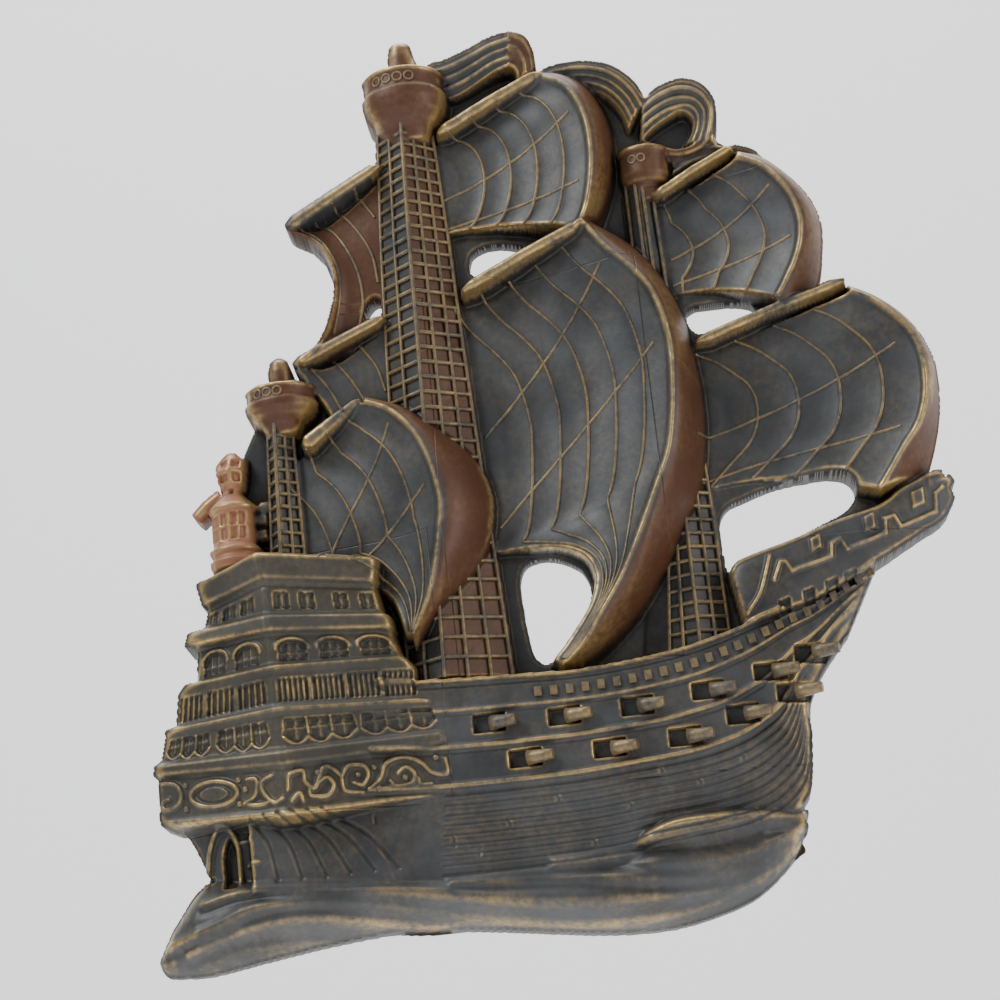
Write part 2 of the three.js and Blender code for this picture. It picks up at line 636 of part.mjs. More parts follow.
/** A fluted ribbon between its two edges. */
function ribbon({ upper, lower }) {
  const top = smooth(upper, 7);
  const foot = smooth(lower, 7);
  const rows = top.map((point, i) =>
    stations(0, 1, FLUTES).map((t, k) => {
      const [x, z, depth] = blend(point, foot[i], t);
      return [x, z, depth + (k % 2 === 0 ? 1 : -0.6)];
    }),
  );
  return relief(rows);
}

// ---- The plaque ----

/** The keyhole in the back that drops over a nail. */
function keyhole() {
  const { x, z, width, slot, drop, depth } = KEYHOLE;
  const round = new THREE.CylinderGeometry(width / 2, width / 2, depth * 2, 16);
  round.translate(x, 0, z);
  const neck = new THREE.BoxGeometry(slot, depth * 2, drop);
  neck.translate(x, 0, z + drop / 2);
  return solid(round).add(solid(neck));
}

function plaque() {
  const body = join([
    web(), sea(), bowWave(), hullSide(), ...dentils(), forecastle(), meander(), ...foreBlocks(),
    sternBody(), underStern(), rudder(), ...sweptPlanks(), ...lantern(), ...rigging(), ...nests(),
    ...SAILS.map(sail), ...farSails(), ...yards(), ...RIBBONS.map(ribbon),
  ]);
  const cuts = join([...[...UPPER_GUNS, ...LOWER_GUNS].map(port), ...foreWindows(), ...sternWindows(), keyhole()]);
  const trim = join([...[...UPPER_GUNS, ...LOWER_GUNS].map(gun), ...scrolls()]);
  return body.subtract(cuts).add(trim);
}

/** A solid as a three.js geometry. */
function geometryOf(made) {
  const { vertProperties, triVerts, numProp } = made.getMesh();
  const geometry = new THREE.BufferGeometry();
  const interleaved = new THREE.InterleavedBuffer(vertProperties, numProp);
  geometry.setAttribute("position", new THREE.InterleavedBufferAttribute(interleaved, 3, 0));
  geometry.setIndex(new THREE.BufferAttribute(triVerts, 1));
  return geometry;
}

const bronze = new THREE.MeshStandardMaterial({ color: 0x3a3836, roughness: 0.45, metalness: 0.4 });
const mesh = new THREE.Mesh(geometryOf(plaque()), bronze);
mesh.name = "galleon_plaque";

const root = new THREE.Group();
root.add(mesh);
export default root;
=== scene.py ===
"""Looks of the galleon wall plaque: one moulded relief with a rubbed, dark bronze patina, and painted shade
darkening its hollows and walls.

Shapes are worked out in millimetres: x to the bow, z up, and depth off the wall.
"""

import logging
import math
from dataclasses import dataclass, field
from enum import Enum
from typing import Callable, Sequence

import bmesh
import bpy
import numpy as np
from mathutils import Matrix, Vector


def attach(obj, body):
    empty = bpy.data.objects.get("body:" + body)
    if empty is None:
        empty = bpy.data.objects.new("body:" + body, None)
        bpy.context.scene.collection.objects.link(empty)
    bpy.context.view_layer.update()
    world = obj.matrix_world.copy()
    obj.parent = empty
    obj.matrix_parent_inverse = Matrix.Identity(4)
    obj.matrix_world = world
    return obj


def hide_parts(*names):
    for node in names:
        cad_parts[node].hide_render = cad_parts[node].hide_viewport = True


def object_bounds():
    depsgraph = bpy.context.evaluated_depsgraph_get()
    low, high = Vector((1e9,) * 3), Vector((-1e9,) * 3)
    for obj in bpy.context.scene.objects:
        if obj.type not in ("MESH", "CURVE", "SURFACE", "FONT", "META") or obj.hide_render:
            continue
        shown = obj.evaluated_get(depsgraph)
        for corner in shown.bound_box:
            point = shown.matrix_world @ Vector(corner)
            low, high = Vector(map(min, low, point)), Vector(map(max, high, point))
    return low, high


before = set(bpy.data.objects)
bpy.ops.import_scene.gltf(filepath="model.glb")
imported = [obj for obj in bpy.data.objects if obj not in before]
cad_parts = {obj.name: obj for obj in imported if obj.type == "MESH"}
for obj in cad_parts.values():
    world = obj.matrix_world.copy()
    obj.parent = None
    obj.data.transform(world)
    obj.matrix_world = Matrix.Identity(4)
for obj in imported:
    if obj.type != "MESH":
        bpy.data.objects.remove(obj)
CAD_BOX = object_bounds()

NODE = "galleon_plaque"
MM = 0.001
GRID_STEP = 0.4
GRID_MARGIN = 6.0
WEB_DEPTH = 7.0
LEAST_DEPTH = 2.0
# Painted shade laid on the walls and back of every piece.
WALL_PAINTED_SHADE = 0.7
STROKE_FALL = 0.7
KEYHOLE_POINTS = 1500
EDGE_RANGE = (0.09, 0.55)
# Painted shade in recesses: how far a point must sink below its surroundings to darken, and how dark it gets at
# most.
PAINTED_SHADE_RANGE = (0.15, 2.4)
PAINTED_SHADE_SHARE = 0.85
RIM_RANGE = (0.82, 0.99)

Array = np.ndarray
Points = Sequence[Sequence[float]]

log = logging.getLogger("plaque")


# ---- Curves -------------------------------------------------------------------------------


def spline(points: Points, count: int) -> Array:
    """A smooth curve through a few points.

    Args:
        points: The points it passes through.
        count: How many points to return.

    Returns:
        Evenly spaced points along the curve, one a row.
    """
    knots = np.asarray(points, float)
    chord = np.sqrt(np.linalg.norm(np.diff(knots, axis=0), axis=1))
    time = np.concatenate([[0.0], np.cumsum(chord)])
    slope = np.gradient(knots, time, axis=0) if len(knots) > 2 else np.diff(knots, axis=0) / chord[:, None]
    if len(knots) == 2:
        slope = np.repeat(slope, 2, axis=0)
    fine = np.linspace(0.0, time[-1], 24 * len(knots))
    span = np.clip(np.searchsorted(time, fine, side="right") - 1, 0, len(knots) - 2)
    length = (time[span + 1] - time[span])[:, None]
    s = (fine - time[span])[:, None] / length
    traced = (
        (2 * s**3 - 3 * s**2 + 1) * knots[span]
        + (s**3 - 2 * s**2 + s) * length * slope[span]
        + (3 * s**2 - 2 * s**3) * knots[span + 1]
        + (s**3 - s**2) * length * slope[span + 1]
    )
    return evenly(traced, count)


def evenly(path: Array, count: int) -> Array:
    """The same path with evenly spaced points.

    Args:
        path: Points in order.
        count: How many points to return.

    Returns:
        The new points, one a row.
    """
    run = np.concatenate([[0.0], np.cumsum(np.linalg.norm(np.diff(path, axis=0), axis=1))])
    wanted = np.linspace(0.0, run[-1], count)
    return np.stack([np.interp(wanted, run, path[:, k]) for k in range(path.shape[1])], axis=1)


def closed_spline(points: Points, count: int) -> Array:
    """A smooth closed curve through a few points.

    Args:
        points: The points it passes through, the first not repeated.
        count: How many points to return.

    Returns:
        Evenly spaced points round the curve.
    """
    ring = list(points)
    whole = spline(ring[-2:] + ring + ring[:2], 60 * len(ring))
    start = int(np.argmin(np.linalg.norm(whole[: len(whole) // 3] - np.asarray(ring[0]), axis=1)))
    tail = whole[len(whole) // 2 :]
    end = len(whole) // 2 + int(np.argmin(np.linalg.norm(tail - np.asarray(ring[0]), axis=1)))
    return evenly(whole[start : end + 1], count + 1)[:-1]


def graph(knots: Points, at: Array) -> Array:
    """The value of a line drawn straight from knot to knot, [place, value] each, at some places."""
    table = np.asarray(knots, float)
    return np.interp(at, table[:, 0], table[:, 1])


def smoothstep(low: float, high: float, value: Array) -> Array:
    """Zero below low, one above high, and an easy rise between them."""
    t = np.clip((value - low) / (high - low), 0.0, 1.0)
    return t * t * (3 - 2 * t)


# ---- The field that the moulding is worked up in ------------------------------------------


class Tint(Enum):
    """The colour worked into a stretch of the moulding under its rubbed gold."""

    SLATE = 0
    COPPER = 1
    SALMON = 2
    OLIVE = 3


@dataclass
class Canvas:
    """The front of the moulding as depths off the wall, on an even grid.

    Attributes:
        low: Least x and z of the grid.
        high: Greatest x and z of the grid.
        step: Size of a cell.
    """

    low: tuple[float, float]
    high: tuple[float, float]
    step: float
    x: Array = field(init=False)
    z: Array = field(init=False)
    depth: Array = field(init=False)
    raised: Array = field(init=False)
    cut: Array = field(init=False)
    tints: Array = field(init=False)

    def __post_init__(self) -> None:
        """Lay out the empty grid."""
        across = np.arange(self.low[0], self.high[0], self.step)
        upwards = np.arange(self.low[1], self.high[1], self.step)
        self.x, self.z = np.meshgrid(across, upwards)
        self.depth = np.zeros_like(self.x)
        self.raised = np.zeros_like(self.x)
        self.cut = np.zeros_like(self.x)
        self.tints = np.zeros((len(Tint), *self.x.shape))

    def lay(
        self, x: Array, z: Array, depth: Array, tint: Tint = Tint.SLATE, share: Array | float = 1.0
    ) -> None:
        """Lay a densely sampled sheet on the canvas; the higher of the two stays.

        Args:
            x: Where the samples are, across.
            z: Where the samples are, upwards.
            depth: How far they stand off the wall.
            tint: The colour that goes with them.
            share: How strong that colour is.
        """
        rows, columns = self.x.shape
        i = np.rint((x - self.low[0]) / self.step).astype(int).ravel()
        j = np.rint((z - self.low[1]) / self.step).astype(int).ravel()
        inside = (i >= 0) & (i < columns) & (j >= 0) & (j < rows)
        cell = (j * columns + i)[inside]
        hits = np.bincount(cell, minlength=rows * columns).reshape(rows, columns)
        known = np.maximum(hits, 1)

        def mean(value: Array | float) -> Array:
            spread = np.broadcast_to(value, x.shape).ravel()[inside]
            return np.bincount(cell, spread, minlength=rows * columns).reshape(rows, columns) / known

        layer = np.where(hits > 0, mean(depth), 0.0)
        strength = mean(share)
        higher = layer > self.depth
        self.depth[higher] = layer[higher]
        self.tints[:, higher] = 0.0
        self.tints[tint.value][higher] = strength[higher]

    def inside(self, outline: Array) -> Array:
        """Which cells lie inside a closed outline of x, z points.

        Args:
            outline: The points in order.

        Returns:
            A mask of the canvas.
        """
        found = np.zeros(self.x.shape, bool)
        low, high = outline.min(0), outline.max(0)
        near = (
            slice(*np.searchsorted(self.z[:, 0], [low[1], high[1]])),
            slice(*np.searchsorted(self.x[0], [low[0], high[0]]))
        )
        x, z = self.x[near], self.z[near]
        within = np.zeros(x.shape, bool)
        for (x0, z0), (x1, z1) in zip(outline, np.roll(outline, -1, axis=0)):
            if z0 == z1:
                continue
            crosses = (z0 > z) != (z1 > z)
            within ^= crosses & (x < (x1 - x0) * (z - z0) / (z1 - z0) + x0)
        found[near] = within
        return found

    def plate(self, outline: Array, depth: float) -> None:
        """Lay a flat plate of the given outline and depth."""
        self.depth = np.where(self.inside(outline), np.maximum(self.depth, depth), self.depth)

    def _window(self, low: Array, high: Array) -> tuple[slice, slice]:
        """The slices of the grid that cover a box of x, z."""
        return (
            slice(*np.searchsorted(self.z[:, 0], [low[1], high[1]])),
            slice(*np.searchsorted(self.x[0], [low[0], high[0]])),
        )

    def stroke(self, path: Array, half: Array | float, amount: float, cut: bool = False) -> None:
        """Raise or cut a rounded line along a path, over whatever lies there.

        Args:
            path: The x, z points of the line.
            half: Half its width, one for all or one for each point.
            amount: How far it rises or how deep it cuts.
            cut: Whether it cuts.
        """
        target = self.cut if cut else self.raised
        halves = np.broadcast_to(half, len(path))
        for a, b, w in zip(path[:-1], path[1:], halves):
            reach = w + self.step
            near = self._window(np.minimum(a, b)[:2] - reach, np.maximum(a, b)[:2] + reach)
            x, z = self.x[near] - a[0], self.z[near] - a[1]
            along = b[:2] - a[:2]
            share = np.clip((x * along[0] + z * along[1]) / max(float(along @ along), 1e-9), 0.0, 1.0)
            away = np.hypot(x - share * along[0], z - share * along[1]) / w
            target[near] = np.maximum(target[near], amount * np.clip(1 - away**2, 0.0, None) ** STROKE_FALL)

    def patch(self, outline: Array, amount: float, cut: bool = False) -> None:
        """Raise or cut a flat patch of the given outline."""
        target = self.cut if cut else self.raised
        target[self.inside(outline)] = amount

    def settle(self, reach: float) -> None:
        """Work the raised and cut lines into the depths, with their edges rounded over a reach."""
        self.depth += self.blurred(self.raised, reach) - self.blurred(self.cut, reach)
        self.raised[:] = 0.0
        self.cut[:] = 0.0

    def blurred(self, values: Array, reach: float) -> Array:
        """A field blurred over a reach in millimetres."""
        across = np.fft.rfftfreq(values.shape[1])
        upwards = np.fft.fftfreq(values.shape[0])[:, None]
        keep = np.exp(-2 * (math.pi * reach / self.step) ** 2 * (across**2 + upwards**2))
        return np.fft.irfft2(np.fft.rfft2(values) * keep, values.shape)

    def soften(self, reach: float) -> None:
        """Round the junctions of what has been laid, without thinning its outer edge."""
        solid = (self.depth > 0).astype(float)
        near = np.maximum(self.blurred(solid, reach), 1e-3)
        self.depth = np.where(solid > 0, self.blurred(self.depth, reach) / near, 0.0)
        self.tints = np.stack([self.blurred(t, reach) / near for t in self.tints])

    def sample(self, values: Array, x: Array, z: Array) -> Array:
        """A field's values at some places, straight between the cells.

        Args:
            values: A field of the canvas.
            x: Places across.
            z: Places upwards.

        Returns:
            The value at each place.
        """
        rows, columns = self.x.shape
        i = np.clip((np.asarray(x) - self.low[0]) / self.step, 0, columns - 1.001)
        j = np.clip((np.asarray(z) - self.low[1]) / self.step, 0, rows - 1.001)
        i0, j0 = i.astype(int), j.astype(int)
        u, v = i - i0, j - j0
        lower = values[j0, i0] * (1 - u) + values[j0, i0 + 1] * u
        upper = values[j0 + 1, i0] * (1 - u) + values[j0 + 1, i0 + 1] * u
        return lower * (1 - v) + upper * v

    def on_face(self, path: Array, proud: float = 0.0) -> Array:
        """The x, z points of a path with their depth on the face of the moulding."""
        depth = self.sample(self.depth, path[:, 0], path[:, 1]) + proud
        return np.column_stack([path[:, 0], path[:, 1], depth])


def lay_rod(canvas: Canvas, path: Array, radius: Callable[[Array], Array], tint: Tint = Tint.SLATE) -> None:
    """Lay a round spar that is half sunk in the relief.

    Args:
        canvas: The canvas.
        path: Points of its axis, x, z and depth.
        radius: Its radius at each share of its length.
        tint: Its colour.
    """
    axis = evenly(path, int(np.linalg.norm(path[-1] - path[0]) / 0.15) + 20)
    ahead = np.gradient(axis[:, :2], axis=0)
    ahead /= np.linalg.norm(ahead, axis=1)[:, None]
    thick = radius(np.linspace(0.0, 1.0, len(axis)))[:, None]
    s = np.linspace(-1.0, 1.0, 61)[None, :]
    x = axis[:, :1] - ahead[:, 1:] * thick * s
    z = axis[:, 1:2] + ahead[:, :1] * thick * s
    canvas.lay(x, z, axis[:, 2:] + thick * np.sqrt(1 - s**2), tint)


def lay_loft(
    canvas: Canvas, rows: Sequence[Points], tint: Tint = Tint.SLATE, shape: Callable | None = None
) -> None:
    """Lay a sheet lofted smoothly through rows of points.

    Args:
        canvas: The canvas.
        rows: Rows of x, z, depth points, all of one length.
        tint: Its colour.
        shape: Adds to the depth, from the shares along and across the sheet.
    """
    reach = max(np.ptp(np.asarray(rows)[..., k]) for k in (0, 1))
    fine = int(reach / 0.15) + 40
    across = np.stack([spline(row, fine) for row in rows])
    time = np.linspace(0.0, 1.0, len(rows))
    wanted = np.linspace(0.0, 1.0, fine)
    span = np.clip(np.searchsorted(time, wanted, side="right") - 1, 0, len(rows) - 2)
    s = ((wanted - time[span]) * (len(rows) - 1))[:, None, None]
    slope = np.gradient(across, axis=0)
    sheet = (
        (2 * s**3 - 3 * s**2 + 1) * across[span]
        + (s**3 - 2 * s**2 + s) * slope[span]
        + (3 * s**2 - 2 * s**3) * across[span + 1]
        + (s**3 - s**2) * slope[span + 1]
    )
    extra = 0.0 if shape is None else shape(wanted[:, None], np.linspace(0.0, 1.0, fine)[None, :])
    canvas.lay(sheet[..., 0], sheet[..., 1], sheet[..., 2] + extra, tint)


# ---- Lines and small parts that stand on the face -----------------------------------------


@dataclass
class Ribs:
    """Fine round lines that stand on the face, all of one thickness.

    Attributes:
        name: Name of the piece.
        radius: Radius of the line.
        lines: Paths of x, z, depth points.
    """

    name: str
    radius: float
    lines: list[Array] = field(default_factory=list)

    def add(self, *paths: Array) -> None:
        """Take more paths, without the points that would fall off the edge of the relief."""
        kept = (path[path[:, 2] > LEAST_DEPTH] for path in paths)
        self.lines.extend(path for path in kept if len(path) > 1)

    def build(self, finish: "Patina") -> bpy.types.Object:
        """Sweep the lines with Geometry Nodes.

        Args:
            finish: What they are dressed in.

        Returns:
            The finished piece.
        """
        corners: list[tuple[float, float, float]] = []
        edges: list[tuple[int, int]] = []
        for line in self.lines:
            start = len(corners)
            corners.extend(to_world(line))
            edges.extend((start + k, start + k + 1) for k in range(len(line) - 1))
        mesh = bpy.data.meshes.new(self.name)
        mesh.from_pydata(corners, edges, [])
        piece = bpy.data.objects.new(self.name, mesh)
        bpy.context.collection.objects.link(piece)
        return realised(piece, sweep_tree(finish.material()), {"Radius": self.radius * MM})


def to_world(points: Array) -> list[tuple[float, float, float]]:
    """Relief points in millimetres as points of the frame in metres."""
    p = np.atleast_2d(points) * MM
    return [(float(x), float(-d), float(z)) for x, z, d in p]


def sweep_tree(material: bpy.types.Material) -> bpy.types.NodeTree:
    """The tree that turns a mesh of edges into round lines.

    Args:
        material: What the lines are dressed in.

    Returns:
        The tree, with the input Radius.
    """
    tree = bpy.data.node_groups.new("round_lines", "GeometryNodeTree")
    face = tree.interface
    face.new_socket("Geometry", in_out="INPUT", socket_type="NodeSocketGeometry")
    face.new_socket("Radius", in_out="INPUT", socket_type="NodeSocketFloat")
    face.new_socket("Geometry", in_out="OUTPUT", socket_type="NodeSocketGeometry")
    nodes, link = tree.nodes, tree.links.new
    given, made = nodes.new("NodeGroupInput"), nodes.new("NodeGroupOutput")
    curve = nodes.new("GeometryNodeMeshToCurve")
    ring = nodes.new("GeometryNodeCurvePrimitiveCircle")
    ring.inputs["Resolution"].default_value = 6
    tube = nodes.new("GeometryNodeCurveToMesh")
    tube.inputs["Fill Caps"].default_value = True
    smooth = nodes.new("GeometryNodeSetShadeSmooth")
    real = nodes.new("GeometryNodeRealizeInstances")
    dress = nodes.new("GeometryNodeSetMaterial")
    dress.inputs["Material"].default_value = material
    link(given.outputs["Geometry"], curve.inputs["Mesh"])
    link(given.outputs["Radius"], ring.inputs["Radius"])
    link(curve.outputs["Curve"], tube.inputs["Curve"])
    link(ring.outputs["Curve"], tube.inputs["Profile Curve"])
    link(tube.outputs["Mesh"], smooth.inputs["Geometry"])
    link(smooth.outputs["Geometry"], real.inputs["Geometry"])
    link(real.outputs["Geometry"], dress.inputs["Geometry"])
    link(dress.outputs["Geometry"], made.inputs["Geometry"])
    return tree


class Stud(Enum):
    """The small solids that repeat over the ship."""

    DENTIL = "dentil"
    GUN = "gun"
    BEAD = "bead"


def stud_tree(stud: Stud, material: bpy.types.Material) -> bpy.types.NodeTree:
    """The tree that sets one small solid on every point of a mesh.

    Args:
        stud: Which solid.
        material: What it is dressed in.

    Returns:
        The tree, with the inputs Width, Length and Tip; each point's Turn and Size attributes place it.
    """
    tree = bpy.data.node_groups.new(stud.value + "_row", "GeometryNodeTree")
    face = tree.interface
    face.new_socket("Geometry", in_out="INPUT", socket_type="NodeSocketGeometry")
    for name in ("Width", "Length", "Tip"):
        face.new_socket(name, in_out="INPUT", socket_type="NodeSocketFloat")
    face.new_socket("Geometry", in_out="OUTPUT", socket_type="NodeSocketGeometry")
    nodes, link = tree.nodes, tree.links.new
    given, made = nodes.new("NodeGroupInput"), nodes.new("NodeGroupOutput")
    if stud is Stud.DENTIL:
        solid = nodes.new("GeometryNodeMeshCube")
        size = nodes.new("ShaderNodeCombineXYZ")
        link(given.outputs["Width"], size.inputs["X"])
        link(given.outputs["Tip"], size.inputs["Y"])
        link(given.outputs["Length"], size.inputs["Z"])
        link(size.outputs["Vector"], solid.inputs["Size"])
    elif stud is Stud.GUN:
        solid = nodes.new("GeometryNodeMeshCone")
        solid.inputs["Vertices"].default_value = 20
        solid.inputs["Side Segments"].default_value = 3
        solid.inputs["Fill Segments"].default_value = 2
        link(given.outputs["Tip"], solid.inputs["Radius Top"])
        link(given.outputs["Width"], solid.inputs["Radius Bottom"])
        link(given.outputs["Length"], solid.inputs["Depth"])
    else:
        solid = nodes.new("GeometryNodeMeshUVSphere")
        solid.inputs["Segments"].default_value = 14
        solid.inputs["Rings"].default_value = 8
        link(given.outputs["Width"], solid.inputs["Radius"])
    turn = nodes.new("GeometryNodeInputNamedAttribute")
    turn.data_type = "FLOAT_VECTOR"
    turn.inputs["Name"].default_value = "turn"
    size_of = nodes.new("GeometryNodeInputNamedAttribute")
    size_of.data_type = "FLOAT_VECTOR"
    size_of.inputs["Name"].default_value = "size"
    place = nodes.new("GeometryNodeInstanceOnPoints")
    smooth = nodes.new("GeometryNodeSetShadeSmooth")
    smooth.inputs["Shade Smooth"].default_value = stud is not Stud.DENTIL
    real = nodes.new("GeometryNodeRealizeInstances")
    dress = nodes.new("GeometryNodeSetMaterial")
    dress.inputs["Material"].default_value = material
    link(given.outputs["Geometry"], place.inputs["Points"])
    link(solid.outputs["Mesh"], place.inputs["Instance"])
    link(turn.outputs["Attribute"], place.inputs["Rotation"])
    link(size_of.outputs["Attribute"], place.inputs["Scale"])
    link(place.outputs["Instances"], real.inputs["Geometry"])
    link(real.outputs["Geometry"], smooth.inputs["Geometry"])
    link(smooth.outputs["Geometry"], dress.inputs["Geometry"])
    link(dress.outputs["Geometry"], made.inputs["Geometry"])
    return tree


@dataclass
class StudRow:
    """A run of like small solids.

    Attributes:
        name: Name of the piece.
        stud: Which solid.
        sizes: Its Width, Length and Tip in millimetres.
        places: Where each stands, x, z and depth.
        turns: How each is turned, in radians about x, y and z.
        scales: How large each is.
    """

    name: str
    stud: Stud
    sizes: dict[str, float]
    places: list[tuple[float, float, float]] = field(default_factory=list)
    turns: list[tuple[float, float, float]] = field(default_factory=list)
    scales: list[tuple[float, float, float]] = field(default_factory=list)

    def add(
        self, place: Sequence[float], turn: Sequence[float] = (0, 0, 0), scale: Sequence[float] = (1, 1, 1)
    ) -> None:
        """Take one more."""
        self.places.append(tuple(place))
        self.turns.append(tuple(turn))
        self.scales.append(tuple(scale))

    def build(self, finish: "Patina") -> bpy.types.Object:
        """Set the solids out with Geometry Nodes.

        Args:
            finish: What they are dressed in.

        Returns:
            The finished piece.
        """
        mesh = bpy.data.meshes.new(self.name)
        mesh.from_pydata(to_world(np.array(self.places)), [], [])
        for name, values in (("turn", self.turns), ("size", self.scales)):
            mesh.attributes.new(name, "FLOAT_VECTOR", "POINT").data.foreach_set("vector", np.ravel(values))
        piece = bpy.data.objects.new(self.name, mesh)
        bpy.context.collection.objects.link(piece)
        inputs = {name: size * MM for name, size in self.sizes.items()}
        return realised(piece, stud_tree(self.stud, finish.material()), inputs)


def realised(
    piece: bpy.types.Object, tree: bpy.types.NodeTree, inputs: dict[str, float]
) -> bpy.types.Object:
    """Run a tree on a piece and keep the result as its plain mesh.

    Args:
        piece: The piece.
        tree: The tree.
        inputs: Values of the tree's named inputs.

    Returns:
        The same piece, with no modifier.
    """
    modifier = piece.modifiers.new("shape", "NODES")
    modifier.node_group = tree
    for item in tree.interface.items_tree:
        if item.name in inputs:
            modifier[item.identifier] = inputs[item.name]
    evaluated = piece.evaluated_get(bpy.context.evaluated_depsgraph_get())
    mesh = bpy.data.meshes.new_from_object(evaluated)
    piece.modifiers.remove(modifier)
    old = piece.data
    piece.data = mesh
    bpy.data.meshes.remove(old)
    mesh.name = piece.name
    return piece


# ---- Swell --------------------------------------------------------------------------------


@dataclass
class Swell:
    """The bank of sea that the ship sails on, with its running waves."""

    top: Points = (
        (-138.2, -154), (-130, -142), (-118, -130), (-100, -129), (-60, -132), (0, -137), (30, -136),
        (46, -128), (60, -124), (80, -123), (97, -127),
    )
    foot: Points = (
        (-138.2, -156), (-136, -159.5), (-130, -160.5), (-120, -160.8), (-100, -158), (-75, -154.8), (-50, -153.2),
        (-25, -155.3), (0, -158.8), (20, -161.6), (40, -162.7), (55, -161), (75, -155), (88, -145), (94.5, -135), (97, -128),
    )
    full: Points = (
        (-138, 7), (-132, 15), (-122, 21), (-105, 25), (-40, 26), (40, 27.5), (80, 23), (97, 12)
    )
    crests: tuple = (
        (
            (-119, -138), (-105, -135.5), (-80, -137.5), (-60, -140.5), (-40, -144.5), (-20, -148.5),
            (0, -152), (20, -154), (40, -154), (62, -152), (85, -145.5), (93, -140)
        ),
        (
            (-134, -151), (-115, -147), (-100, -142.5), (-82, -141), (-58, -144.5), (-32, -150.5),
            (-10, -155), (10, -158), (35, -159), (58, -156), (78, -150)
        ),
        ((-126, -154), (-110, -149.5), (-90, -147.5), (-68, -149), (-45, -152.5), (-28, -154.5)),
        ((-30, -140.5), (-10, -141.5), (15, -143), (38, -146.5), (55, -147.5), (75, -145.5), (93, -138)),
        ((6, -138), (28, -139.5), (42, -142.5), (58, -143.5), (78, -141), (94, -134)),
    )

    def lay(self, canvas: Canvas) -> None:
        """Lay the rounded bank."""
        x = np.linspace(-138.2, 97, 1700)[:, None]
        t = np.linspace(0.0, 1.0, 420)[None, :]
        top = np.interp(x, *spline(self.top, 300).T)
        foot = np.interp(x, *spline(self.foot, 300).T)
        full = graph(self.full, x)
        bank = np.sin(math.pi * (0.13 + 0.84 * t)) ** 0.62
        canvas.lay(x + 0 * t, top + (foot - top) * t, np.maximum(2.5, full * bank))

    def waves(self, canvas: Canvas) -> None:
        """Raise the crests that run along the bank and hollow the troughs under them."""
        for crest in self.crests:
            path = spline(crest, 90)
            taper = np.sin(np.linspace(0.12, math.pi - 0.12, 90)) ** 0.6
            canvas.stroke(path, 3.4 * taper + 0.6, 2.1)
            canvas.stroke(path - [0.0, 3.4], 2.2 * taper + 0.5, 1.1, cut=True)

    def bow_wave(self, canvas: Canvas) -> None:
        """Lay the water thrown up under the bow."""
        lay_loft(
            canvas,
            [
                [(33, -134, 20), (33.5, -135.5, 24), (34.5, -137.5, 21)],
                [(39, -129.5, 20), (41, -132.5, 30), (44, -139, 24)],
                [(48, -126, 19), (51, -129.5, 31.5), (56, -139, 25)],
                [(62, -124.5, 17), (65, -129, 29.5), (70, -139, 23)],
                [(78, -124.5, 14), (81, -129.5, 25), (84, -137, 19)],
                [(95, -126, 9), (95.5, -130, 16), (96, -134, 12)],
            ],
        )


# ---- Hull ---------------------------------------------------------------------------------


